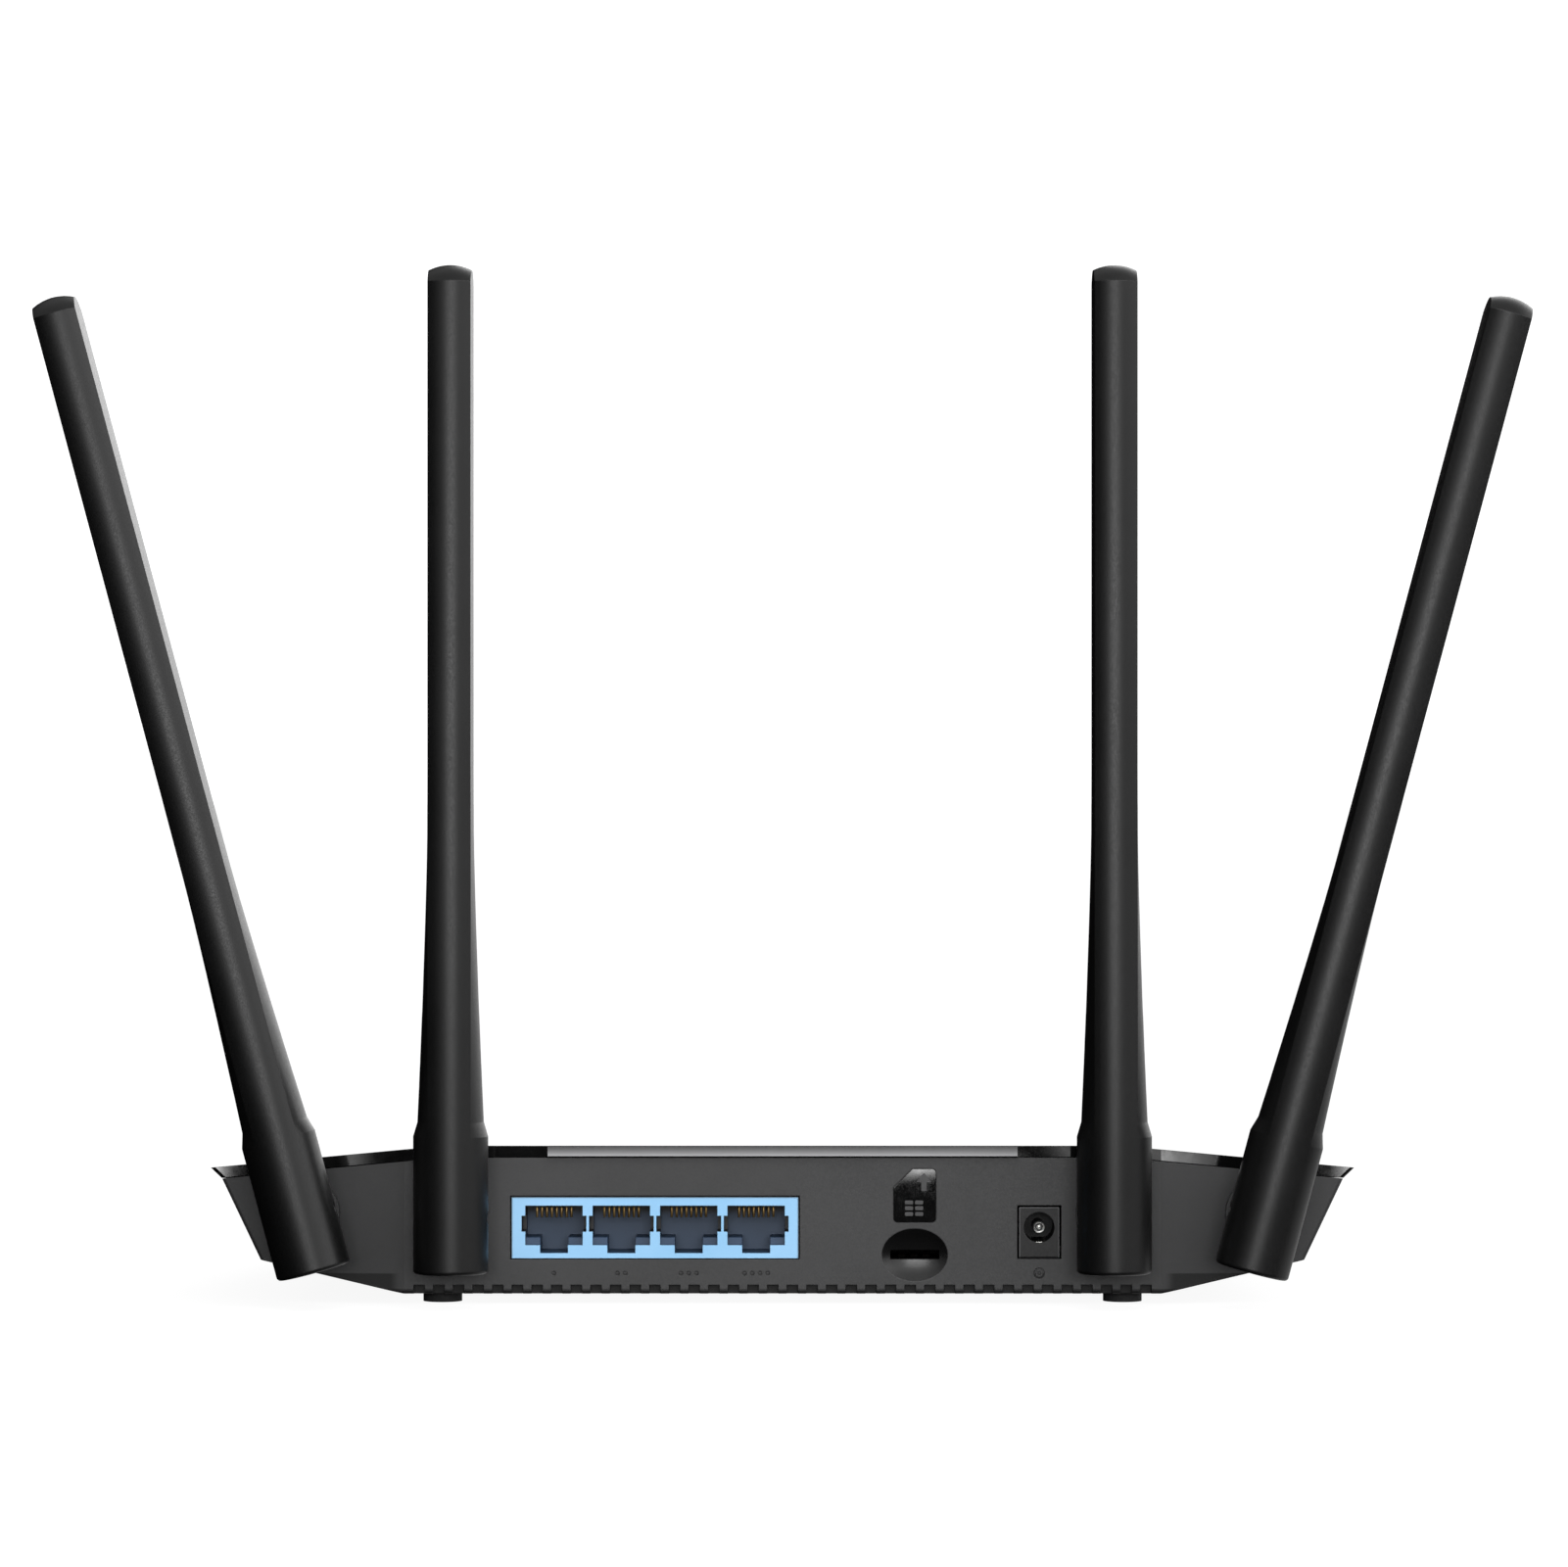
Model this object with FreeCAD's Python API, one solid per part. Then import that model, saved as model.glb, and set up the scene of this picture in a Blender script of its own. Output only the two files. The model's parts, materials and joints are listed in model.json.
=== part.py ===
import FreeCAD, Part
import math
import os
from FreeCAD import Matrix, Placement, Rotation, Vector

# Four-antenna desktop router, in millimetres.  Geometry is written with the rear panel in the
# plane y = 0, +Y running to the front edge, +Z up and the desk at z = 0.  save() moves every
# piece by ORIGIN_SHIFT, which puts the origin under the centre of the whole object.

# ---- case envelope -------------------------------------------------------------------------
BODY_DEPTH = 140.0          # rear panel to front edge of the lid
PANEL_HALF = 78.4           # flat rear panel, centre to the crease where a wing starts
WING_HALF = 118.9           # centre to the rear tip of a wing
WING_SETBACK = 3.3          # how far the wing tip lies in front of the rear panel
SHOULDER_HALF = 112.0       # lid outline where the sides turn towards the front
SHOULDER_Y = 95.0
FRONT_HALF = 86.0           # lid outline at the front edge
FOOT_HEIGHT = 2.1           # desk to the underside of the case
LID_TOP = 32.85             # desk to the top of the lid at the rear panel
LID_BAND = 2.35             # thickness of the lid, seen as a band above the rear panel
LID_FALL = 4.5              # the whole lid falls towards the front, degrees
FRONT_FALL = 9.0            # and by this angle in front of its fold
FRONT_FOLD_Y = 100.0
TOP_FOLD_HALF = 70.0        # outside this half width the lid also falls sideways
LID_EDGE_Z = 28.1           # height of the lid's sharp edge at the rear tips of the wings
LID_OVERHANG = 2.35         # the lid's edge stands this far out from the case wall
LID_EDGE_DROP = 2.2         # height of the undercut bevel below the lid's edge
WALL_FOOT_Z = 9.0           # height where the leaning side wall meets the sloped underside
WALL_FOOT_HALF = 108.4      # that corner's half width at the wing tip
UNDERSIDE_HALF = 78.4       # half width of the flat underside
UNDERSIDE_Y = 112.0         # the flat underside ends here at the front
WALL = 2.0                  # case wall and floor
CORNER_RADIUS = 6.0         # outline corners at shoulder and front
TIP_RADIUS = 0.8            # outline corner at the wing tip
PANEL_FOOT_RADIUS = 1.1     # rounded lower edge of the rear panel

# ---- clearances ----------------------------------------------------------------------------
SNUG_GAP = 0.1              # parts laid into a recess, each side
SOCKET_GAP = 0.2            # sockets in their panel cut-outs, each side
RUNNING_GAP = 0.06          # radial, shafts and pins that turn
SLIDE_GAP = 0.15            # flat faces that turn or slide past each other
POST_GAP = 0.2              # between the ends of a screw post's two halves
PARTING_GAP = 0.15          # shadow line between the lid and the case wall
LEAD_GAP = 0.2              # between a plug's side and the end of its lead

# ---- antennas ------------------------------------------------------------------------------
INNER_PIVOT_X = 68.0
OUTER_PIVOT_X = 99.0
PIVOT_Z = 19.0
ANTENNA_OFFSET = 14.0       # rear panel to the antenna's axis
OUTER_LEAN = 15.0           # outward lean of the outer pair at rest, degrees
ANTENNA_RADIUS = 7.7
ANTENNA_BELOW = 11.5        # pivot to the lower end
ANTENNA_ABOVE = 195.1       # pivot to the crown
BLADE_HALF = 4.4            # half width between the blade's flat sides
BLADE_BULGE = 0.05          # how far a flat side bows outward
SHOULDER_LOW = 16.6         # above the pivot, the round foot ends here
SHOULDER_HIGH = 19.6        # and the tapering blade starts here
NECK_HALF = 6.8             # half width just above the shoulder
TAPER_END = 92.0            # above the pivot, the blade is straight from here up
TAPER_POWER = 1.4           # how quickly the neck draws in
CROWN_RADIUS = 9.8
FOOT_EDGE_RADIUS = 0.8
TILT_CLEAR_RADIUS = 11.6    # router side of the foot is rounded about the tilt axis
BLADE_WALL = 1.5
CAVITY_HALF_DEPTH = 5.0
CAVITY_FLOOR = 8.0          # above the pivot
CAVITY_ROOF = 186.0

# ---- antenna hinges ------------------------------------------------------------------------
FLANGE_RADIUS = 7.3
FLANGE_THICKNESS = 2.0
SWIVEL_RADIUS = 4.5
SWIVEL_BOSS_RISE = 2.4      # the boss round a swivel bore stands this far beyond the wall
SWIVEL_BOSS_RADIUS = 6.5
SWIVEL_TAIL = 2.2           # shaft beyond the inner face of its bore
LEAD_BORE_RADIUS = 2.0      # hollow of the swivel shaft
TONGUE_HALF = 3.0
TONGUE_RADIUS = 4.4
HINGE_PIN_RADIUS = 1.5
HINGE_PIN_HALF = 7.35
CLIP_THICKNESS = 0.9
CLIP_GROOVE_DEPTH = 0.65
CLIP_RADIUS = 6.0

# ---- rear sockets and marks ----------------------------------------------------------------
LAN_CENTRE_X = -26.43       # middle of the four-port block
LAN_BLOCK_WIDTH = 59.6
LAN_BLOCK_HEIGHT = 12.75
LAN_BLOCK_DEPTH = 15.0
LAN_PITCH = 13.97
LAN_PORTS = 4
PORT_WIDTH = 11.9
PORT_HEIGHT = 8.2
PORT_FLOOR = 2.7            # port opening above the underside of the block
PORT_DEPTH = 12.0
PORT_NOTCH = 0.77           # side notches of a port
PORT_NOTCH_HEIGHT = 3.3
PORT_NOTCH_RISE = 2.8
KEYWAY_WIDTH = 5.8
KEYWAY_DROP = 1.65
LEDGE_WIDTH = 3.0
LEDGE_HEIGHT = 1.4
LEDGE_SETBACK = 2.5
CONTACTS = 8
CONTACT_PITCH = 1.02
CONTACT_WIDTH = 0.45
CONTACT_THICKNESS = 0.3
CONTACT_DROP = 2.0
SOCKET_RECESS = 0.3         # socket faces behind the rear panel's face
SOCKET_LIFT = 0.5           # underside of the LAN block above the board
SIM_X = 27.4
SIM_Z = 10.2
SIM_SLOT_WIDTH = 10.1
SIM_SLOT_HEIGHT = 1.9
DISH_HALF_WIDTH = 6.95
DISH_HALF_HEIGHT = 5.55
DISH_DEPTH = 1.3
MARKER_Z = 22.5
MARKER_WIDTH = 8.7
MARKER_HEIGHT = 11.0
MARKER_CUT = 3.9
MARKER_CORNER = 0.8
MARKER_THICKNESS = 0.5
MARKER_PROUD = 0.05
JACK_X = 53.2
JACK_WIDTH = 8.3
JACK_HEIGHT = 10.3
JACK_GAP = 0.4              # jack in its cut-out, each side
JACK_LIFT = 0.77            # underside of the jack's nose above the board
JACK_NOSE = 3.0             # length of the nose that stands in the panel
JACK_DEPTH = 14.0
JACK_HOLE_RADIUS = 3.15
JACK_HOLE_DEPTH = 9.5
JACK_HOLE_RISE = 6.13       # centre of the hole above the underside of the nose
JACK_PIN_RADIUS = 1.25
JACK_PIN_LENGTH = 8.6
VENT_COUNT = 38
VENT_PITCH = 4.07
VENT_WIDTH = 2.35
VENT_HEIGHT = 1.9
VENT_DEPTH = 1.6
FLOOR_VENT_YS = (40.0, 70.0)
FLOOR_VENT_COUNT = 12
FLOOR_VENT_LENGTH = 20.0
FLOOR_VENT_PITCH = 2 * VENT_PITCH
MARK_DEPTH = 0.2
MARK_Z = 6.4
DOT_RADIUS = 0.45
DOT_PITCH = 1.6

# ---- board and what stands on it -----------------------------------------------------------
BOARD_TOP = 9.0
BOARD_THICKNESS = 1.6
BOARD_HALF = 64.0
BOARD_REAR = 2.5
BOARD_FRONT = 118.0
BOARD_SCREW_X = 58.0
BOARD_SCREW_YS = (22.0, 100.0)
CASE_SCREW_X = 71.0
CASE_SCREW_YS = (24.0, 90.0)
FOOT_X = 70.9
FOOT_YS = (9.0, 104.0)
FOOT_RADIUS = 4.05
FOOT_RECESS = 0.5
POST_SPLIT = 14.0           # height where the case's and the lid's screw posts meet
BASE_POST_RADIUS = 4.6
LID_POST_RADIUS = 3.5
CASE_SCREW_RADIUS = 1.4
CASE_HEAD_RADIUS = 2.75
CASE_HEAD_TOP = 5.6
CASE_HEAD_HEIGHT = 2.0
CASE_SCREW_TOP = 20.5
BOARD_SCREW_RADIUS = 1.0
BOARD_HEAD_RADIUS = 2.2
BOARD_HEAD_HEIGHT = 1.4
LIP_THICKNESS = 1.2
LIP_DEPTH = 1.2
INSERT_THICKNESS = 1.0
INSERT_NOSE = 1.2           # the insert's rounded nose overhangs the rear panel
INSERT_REAR_HALF = 48.5
INSERT_FRONT_HALF = 34.0
INSERT_FRONT_Y = 124.0
LED_COUNT = 6
LED_PITCH = 9.0
LED_Y = 112.0
GUIDE_RADIUS = 1.0
RESET_X = 52.0
RESET_Y = 62.0
RESET_RADIUS = 1.0
RESET_HOLE_RADIUS = 1.3
PROCESSOR_SPOT = (-20.0, 62.0)
PROCESSOR_SIZE = 14.0
PROCESSOR_HEIGHT = 1.2
PAD_HEIGHT = 0.8
HEATSINK_SIZE = 30.0
HEATSINK_HEIGHT = 9.0
HEATSINK_PLATE = 2.0
FIN_GAPS = 7
FIN_GAP = 2.6
MEMORY_SPOTS = ((6.0, 56.0), (6.0, 72.0))
FLASH_SPOT = (6.0, 86.0)
TRANSFORMER_SPOTS = ((-40.0, 24.0), (-12.0, 24.0))
WIFI_SPOTS = ((-46.0, 46.0), (-46.0, 78.0))
WIFI_CAN_WIDTH = 14.0
WIFI_CAN_DEPTH = 26.0
CAN_HEIGHT = 2.5
LTE_SPOT = (34.0, 88.0)
LTE_WIDTH = 32.0
LTE_DEPTH = 29.0
LTE_BOARD = 1.0
CAPACITOR_SPOTS = ((46.0, 24.0), (46.0, 33.0), (46.0, 42.0))
CAPACITOR_RADIUS = 3.15
CAPACITOR_HEIGHT = 7.7
INDUCTOR_SPOTS = ((30.0, 30.0), (30.0, 40.0))
LEAD_RADIUS = 0.6
LEAD_BEND = 4.5
PLUG_RADIUS = 1.6
PLUG_X = 55.0
INNER_PLUG_Y = 48.0
OUTER_PLUG_Y = 60.0

X_AXIS = Vector(1, 0, 0)
Y_AXIS = Vector(0, 1, 0)
Z_AXIS = Vector(0, 0, 1)
REACH = 400.0
BOARD_BOTTOM = BOARD_TOP - BOARD_THICKNESS
FLOOR_TOP = FOOT_HEIGHT + WALL
SWIVEL_BORE_LENGTH = WALL + SWIVEL_BOSS_RISE
SOCKET_BASE = BOARD_TOP + SOCKET_LIFT
ORIGIN_SHIFT = (ANTENNA_OFFSET + ANTENNA_RADIUS - BODY_DEPTH) / 2
ANTENNAS = (
    (1, -OUTER_PIVOT_X, -OUTER_LEAN),
    (2, -INNER_PIVOT_X, 0.0),
    (3, INNER_PIVOT_X, 0.0),
    (4, OUTER_PIVOT_X, OUTER_LEAN),
)


# ---- helpers -------------------------------------------------------------------------------
def save(name, *solids):
    """Write one node; several solids stay separate."""
    shape = solids[0] if len(solids) == 1 else Part.makeCompound(list(solids))
    shape = shape.copy()
    shape.translate(Vector(0, ORIGIN_SHIFT, 0))
    shape.exportStep(f"parts/{name}.step")


def box(x0, x1, y0, y1, z0, z1):
    return Part.makeBox(x1 - x0, y1 - y0, z1 - z0, Vector(x0, y0, z0))


def block(x, y, width, depth, z0, z1):
    """A box centred on (x, y) in plan."""
    return box(x - width / 2, x + width / 2, y - depth / 2, y + depth / 2, z0, z1)


def post(x, y, radius, z0, z1):
    return Part.makeCylinder(radius, z1 - z0, Vector(x, y, z0))


def rod_y(x, z, radius, y0, y1):
    return Part.makeCylinder(radius, y1 - y0, Vector(x, y0, z), Y_AXIS)


def rod_x(y, z, radius, half):
    return Part.makeCylinder(radius, 2 * half, Vector(-half, y, z), X_AXIS)


def fused(solids):
    return solids[0].multiFuse(solids[1:]).removeSplitter()


def prism(points, direction):
    """Extrude a closed outline of 3-D points."""
    outline = Part.makePolygon([*points, points[0]])
    return Part.Face(outline).extrude(direction)


def mirrored(shape):
    flip = Matrix()
    flip.A11 = -1
    return shape.transformGeometry(flip)


def half_space(point, outward):
    slab = Part.makeBox(2 * REACH, 2 * REACH, REACH, Vector(-REACH, -REACH, 0))
    slab.Placement = Placement(point, Rotation(Z_AXIS, outward))
    return slab


def carve(solid, planes):
    """Cut away all that lies outside each (point, outward normal) plane."""
    for point, outward in planes:
        solid = solid.cut(half_space(point, outward))
    return solid


def inset(planes, distance):
    return [(point - outward * distance, outward) for point, outward in planes]


def both_sides(planes):
    flipped = [(Vector(-p.x, p.y, p.z), Vector(-n.x, n.y, n.z)) for p, n in planes]
    return planes + flipped


def wall_plane(start, end, lean=0.0, back=0.0, drop=0.0):
    """Plane along an edge run anticlockwise, leaning inward downward by `lean` radians.

    The edge is first moved inward by `back` and down by `drop`.
    """
    run = end - start
    outward = Vector(run.y, -run.x, 0).normalize()
    slant = outward * -math.sin(lean) - Z_AXIS * math.cos(lean)
    return start - outward * back - Z_AXIS * drop, slant.cross(run).normalize()


# ---- case surfaces -------------------------------------------------------------------------
FALL_GRADE = math.tan(math.radians(LID_FALL))
FRONT_GRADE = math.tan(math.radians(FRONT_FALL))
WING_GRADE = (LID_TOP - FALL_GRADE * WING_SETBACK - LID_EDGE_Z) / (WING_HALF - TOP_FOLD_HALF)


def lid_height(x, y):
    """Height of the lid's top above the desk."""
    middle = LID_TOP - FALL_GRADE * y
    wing = middle - WING_GRADE * (abs(x) - TOP_FOLD_HALF)
    front = LID_TOP - FALL_GRADE * FRONT_FOLD_Y - FRONT_GRADE * (y - FRONT_FOLD_Y)
    return min(middle, wing, front)


def lid_edge(x, y):
    return Vector(x, y, lid_height(x, y))


CREASE = lid_edge(PANEL_HALF, 0.0)
TIP = lid_edge(WING_HALF, WING_SETBACK)
SHOULDER = lid_edge(SHOULDER_HALF, SHOULDER_Y)
FRONT_CORNER = lid_edge(FRONT_HALF, BODY_DEPTH)
LID_LEAN = math.atan(LID_OVERHANG / LID_EDGE_DROP)
WALL_TOP_Z = LID_EDGE_Z - LID_EDGE_DROP
WALL_LEAN = math.atan((WING_HALF - LID_OVERHANG - WALL_FOOT_HALF) / (WALL_TOP_Z - WALL_FOOT_Z))
WING_RISE = math.atan((WALL_FOOT_Z - FOOT_HEIGHT) / (WALL_FOOT_HALF - UNDERSIDE_HALF))
FRONT_WALL_HEIGHT = FRONT_CORNER.z - LID_EDGE_DROP - WALL_FOOT_Z
WALL_FOOT_Y = BODY_DEPTH - LID_OVERHANG - FRONT_WALL_HEIGHT * math.tan(WALL_LEAN)
FRONT_RISE = math.atan((WALL_FOOT_Z - FOOT_HEIGHT) / (WALL_FOOT_Y - UNDERSIDE_Y))


def top_planes(drop):
    """The lid's middle and its three slopes, moved straight down by `drop`."""
    middle = (Vector(0, 0, LID_TOP - drop), Vector(0, FALL_GRADE, 1).normalize())
    wing = (
        Vector(TOP_FOLD_HALF, 0, LID_TOP - drop),
        Vector(WING_GRADE, FALL_GRADE, 1).normalize(),
    )
    front = (
        Vector(0, FRONT_FOLD_Y, lid_height(0, FRONT_FOLD_Y) - drop),
        Vector(0, FRONT_GRADE, 1).normalize(),
    )
    return both_sides([wing]) + [front, middle]


def rear_planes():
    wing = wall_plane(CREASE, TIP)
    return both_sides([wing]) + [(Vector(0, 0, 0), Vector(0, -1, 0))]


def rim_planes(lean, back, drop):
    """Sides, front corners and front of the outline."""
    front_left = lid_edge(-FRONT_HALF, BODY_DEPTH)
    side = wall_plane(TIP, SHOULDER, lean, back, drop)
    corner = wall_plane(SHOULDER, FRONT_CORNER, lean, back, drop)
    front = wall_plane(FRONT_CORNER, front_left, lean, back, drop)
    return both_sides([side, corner]) + [front]


def case_planes():
    return rear_planes() + rim_planes(WALL_LEAN, LID_OVERHANG, LID_EDGE_DROP)


def lid_planes():
    return rear_planes() + rim_planes(LID_LEAN, 0.0, 0.0)


def underside_planes():
    wing = (
        Vector(UNDERSIDE_HALF, 0, FOOT_HEIGHT),
        Vector(math.sin(WING_RISE), 0, -math.cos(WING_RISE)),
    )
    front = (
        Vector(0, UNDERSIDE_Y, FOOT_HEIGHT),
        Vector(0, math.sin(FRONT_RISE), -math.cos(FRONT_RISE)),
    )
    return both_sides([wing]) + [front, (Vector(0, 0, FOOT_HEIGHT), -Z_AXIS)]


def seed():
    """Oversized block that the planes are carved from."""
    return box(-WING_HALF * 2, WING_HALF * 2, -10, BODY_DEPTH * 2, 0, LID_TOP * 1.5)


def upright_edges(solid, corner):
    """Corner edges of an outline block nearest to a plan corner on either side."""
    picked = []
    for side in (-1, 1):
        target = Vector(side * corner.x, corner.y, corner.z)
        uprights = [e for e in solid.Edges if abs(e.tangentAt(e.FirstParameter).z) > 0.5]
        picked.append(min(uprights, key=lambda e: e.distToShape(Part.Vertex(target))[0]))
    return picked


def outline_block(planes):
    """Outline with rounded corners, before its top and underside are cut."""
    solid = carve(seed(), planes)
    for corner, radius in ((SHOULDER, CORNER_RADIUS), (FRONT_CORNER, CORNER_RADIUS), (TIP, TIP_RADIUS)):
        solid = solid.makeFillet(radius, upright_edges(solid, corner))
    return solid


def below_lid(drop):
    """Everything under the lid's surface moved down by `drop`."""
    return carve(seed(), top_planes(drop))


# ---- bottom housing ------------------------------------------------------------------------
def swivel_bosses():
    return [rod_y(x, PIVOT_Z, SWIVEL_BOSS_RADIUS, 0, SWIVEL_BORE_LENGTH) for _, x, _ in ANTENNAS]


def swivel_bores():
    radius = SWIVEL_RADIUS + RUNNING_GAP
    return [rod_y(x, PIVOT_Z, radius, -1, SWIVEL_BORE_LENGTH + 1) for _, x, _ in ANTENNAS]


def case_screw_spots():
    return [(side * CASE_SCREW_X, y) for side in (-1, 1) for y in CASE_SCREW_YS]


def board_screw_spots():
    return [(side * BOARD_SCREW_X, y) for side in (-1, 1) for y in BOARD_SCREW_YS]


def foot_spots():
    return [(side * FOOT_X, y) for side in (-1, 1) for y in FOOT_YS]


def lan_cutout():
    half = LAN_BLOCK_WIDTH / 2 + SOCKET_GAP
    return box(
        LAN_CENTRE_X - half,
        LAN_CENTRE_X + half,
        -1,
        WALL + 1,
        SOCKET_BASE - SOCKET_GAP,
        SOCKET_BASE + LAN_BLOCK_HEIGHT + SOCKET_GAP,
    )


def jack_cutout():
    half = JACK_WIDTH / 2 + JACK_GAP
    low = BOARD_TOP + JACK_LIFT - JACK_GAP
    return box(JACK_X - half, JACK_X + half, -1, WALL + 1, low, low + JACK_HEIGHT + 2 * JACK_GAP)


def sim_cutouts():
    """Shallow oval finger bowl and the card slot through its floor."""
    radius = (DISH_HALF_WIDTH**2 + DISH_DEPTH**2) / (2 * DISH_DEPTH)
    rear = radius - DISH_DEPTH - 0.5
    cap = Part.makeSphere(radius).common(box(-radius, radius, rear, radius + 1, -radius, radius))
    squeeze = Matrix()
    squeeze.A33 = DISH_HALF_HEIGHT / DISH_HALF_WIDTH
    bowl = cap.transformGeometry(squeeze)
    bowl.translate(Vector(SIM_X, DISH_DEPTH - radius, SIM_Z))
    slot = box(
        SIM_X - SIM_SLOT_WIDTH / 2,
        SIM_X + SIM_SLOT_WIDTH / 2,
        -1,
        WALL + 1,
        SIM_Z - SIM_SLOT_HEIGHT / 2,
        SIM_Z + SIM_SLOT_HEIGHT / 2,
    )
    return [bowl, slot]


def card_outline(margin):
    """Card shape with one corner cut off, grown by `margin` all round."""
    half_w = MARKER_WIDTH / 2 + margin
    half_h = MARKER_HEIGHT / 2 + margin
    cut = MARKER_CUT
    corners = (
        (-half_w, -half_h),
        (half_w, -half_h),
        (half_w, half_h),
        (cut - half_w, half_h),
        (-half_w, half_h - cut),
    )
    return [Vector(SIM_X + x, 0, MARKER_Z + z) for x, z in corners]


def card_block(margin, thickness):
    """Card shape of a given thickness, with its square corners rounded."""
    block = prism(card_outline(margin), Vector(0, thickness, 0))
    cut_x = SIM_X - MARKER_WIDTH / 2 - margin + MARKER_CUT
    cut_z = MARKER_Z + MARKER_HEIGHT / 2 + margin - MARKER_CUT
    square = []
    for edge in block.Edges:
        middle = edge.CenterOfMass
        along = abs(edge.tangentAt(edge.FirstParameter).y) > 0.5
        if along and (middle.x > cut_x + 1 or middle.z < cut_z - 1):
            square.append(edge)
    return block.makeFillet(MARKER_CORNER + margin, square)


def marker_recess():
    return card_block(SNUG_GAP, MARKER_THICKNESS)


def rear_notches():
    """Short vent notches along the lower edge of the rear panel."""
    first = -VENT_PITCH * (VENT_COUNT - 1) / 2
    notches = []
    for index in range(VENT_COUNT):
        x = first + index * VENT_PITCH
        notches.append(
            box(x - VENT_WIDTH / 2, x + VENT_WIDTH / 2, -1, VENT_DEPTH, 0, FOOT_HEIGHT + VENT_HEIGHT)
        )
    return notches


def floor_vents():
    """Two rows of cooling slots through the floor under the board."""
    slots = []
    for y in FLOOR_VENT_YS:
        for index in range(FLOOR_VENT_COUNT):
            x = (index - (FLOOR_VENT_COUNT - 1) / 2) * FLOOR_VENT_PITCH
            slots.append(block(x, y, VENT_WIDTH, FLOOR_VENT_LENGTH, 0, FLOOR_TOP + 1))
    return slots


def port_marks():
    """Engraved dots that number the ports, and a ring with a dot below the power jack."""
    marks = []
    for port, x in enumerate(port_centres()):
        for dot in range(port + 1):
            dot_x = x + (dot - port / 2) * DOT_PITCH
            marks.append(rod_y(dot_x, MARK_Z, DOT_RADIUS, -1, MARK_DEPTH))
    ring = rod_y(JACK_X, MARK_Z, 2.5 * DOT_RADIUS, -1, MARK_DEPTH)
    ring = ring.cut(rod_y(JACK_X, MARK_Z, 1.8 * DOT_RADIUS, -1, MARK_DEPTH))
    marks += [ring, rod_y(JACK_X, MARK_Z, 0.8 * DOT_RADIUS, -1, MARK_DEPTH)]
    return marks


def panel_foot(solid):
    """The level edge where the rear panel meets the underside."""
    return [e for e in solid.Edges if e.CenterOfMass.distanceToPoint(Vector(0, 0, FOOT_HEIGHT)) < 0.01]


def bottom_housing():
    outer = carve(outline_block(case_planes()), underside_planes())
    outer = outer.makeFillet(PANEL_FOOT_RADIUS, panel_foot(outer))
    outer = outer.common(below_lid(LID_BAND + PARTING_GAP))
    hollow = carve(seed(), inset(case_planes() + underside_planes(), WALL))
    shell = outer.cut(hollow)
    base_posts = [post(x, y, BASE_POST_RADIUS, FLOOR_TOP - 1, POST_SPLIT) for x, y in case_screw_spots()]
    pillars = [post(x, y, 3.0, FLOOR_TOP - 1, BOARD_BOTTOM) for x, y in board_screw_spots()]
    shell = fused([shell, *swivel_bosses(), *base_posts, *pillars])
    cuts = [*swivel_bores(), lan_cutout(), jack_cutout(), *sim_cutouts(), marker_recess()]
    for x, y in case_screw_spots():
        cuts.append(post(x, y, CASE_SCREW_RADIUS + 0.3, 0, POST_SPLIT + 1))
        cuts.append(post(x, y, CASE_HEAD_RADIUS + 0.3, 0, CASE_HEAD_TOP))
    for x, y in board_screw_spots():
        cuts.append(post(x, y, BOARD_SCREW_RADIUS, FOOT_HEIGHT + 1, BOARD_BOTTOM + 1))
    for x, y in foot_spots():
        cuts.append(post(x, y, FOOT_RADIUS + SNUG_GAP, 0, FOOT_HEIGHT + FOOT_RECESS))
    cuts.append(post(RESET_X, RESET_Y, RESET_HOLE_RADIUS, 0, FLOOR_TOP + 1))
    return shell.cut([*cuts, *rear_notches(), *floor_vents(), *port_marks()])


def rubber_feet():
    return [post(x, y, FOOT_RADIUS, 0, FOOT_HEIGHT + FOOT_RECESS) for x, y in foot_spots()]


# ---- lid -----------------------------------------------------------------------------------
def insert_half(y):
    """Half width of the insert, which narrows evenly from the rear panel to its front end."""
    narrowing = (INSERT_REAR_HALF - INSERT_FRONT_HALF) / INSERT_FRONT_Y
    return INSERT_REAR_HALF - narrowing * y


def insert_column(margin):
    """Upright prism over the insert's plan, grown by `margin` at the sides and front."""
    start = -INSERT_NOSE
    end = INSERT_FRONT_Y + margin
    rear = insert_half(start) + margin
    front = insert_half(INSERT_FRONT_Y) + margin
    plan = [(-rear, start), (rear, start), (front, end), (-front, end)]
    return prism([Vector(x, y, 0) for x, y in plan], Vector(0, 0, LID_TOP * 1.5))


def insert_nose(thickness):
    """Lip that turns down over the lid's rear edge, undercut in a curve towards the panel."""
    low = LID_TOP - LID_BAND
    crest = LID_TOP - INSERT_NOSE / 4
    start = Vector(-REACH, 0, low)
    swell = Vector(-REACH, -0.7 * INSERT_NOSE, low + 0.4 * LID_BAND)
    top = Vector(-REACH, -INSERT_NOSE, crest)
    corners = [
        top,
        Vector(-REACH, -0.75 * INSERT_NOSE, LID_TOP),
        Vector(-REACH, thickness, lid_height(0, thickness)),
        Vector(-REACH, thickness, low),
        start,
    ]
    curve = Part.Arc(start, swell, top).toShape()
    profile = Part.Wire([curve, *Part.makePolygon(corners).Edges])
    return Part.Face(profile).extrude(Vector(2 * REACH, 0, 0))


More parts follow.
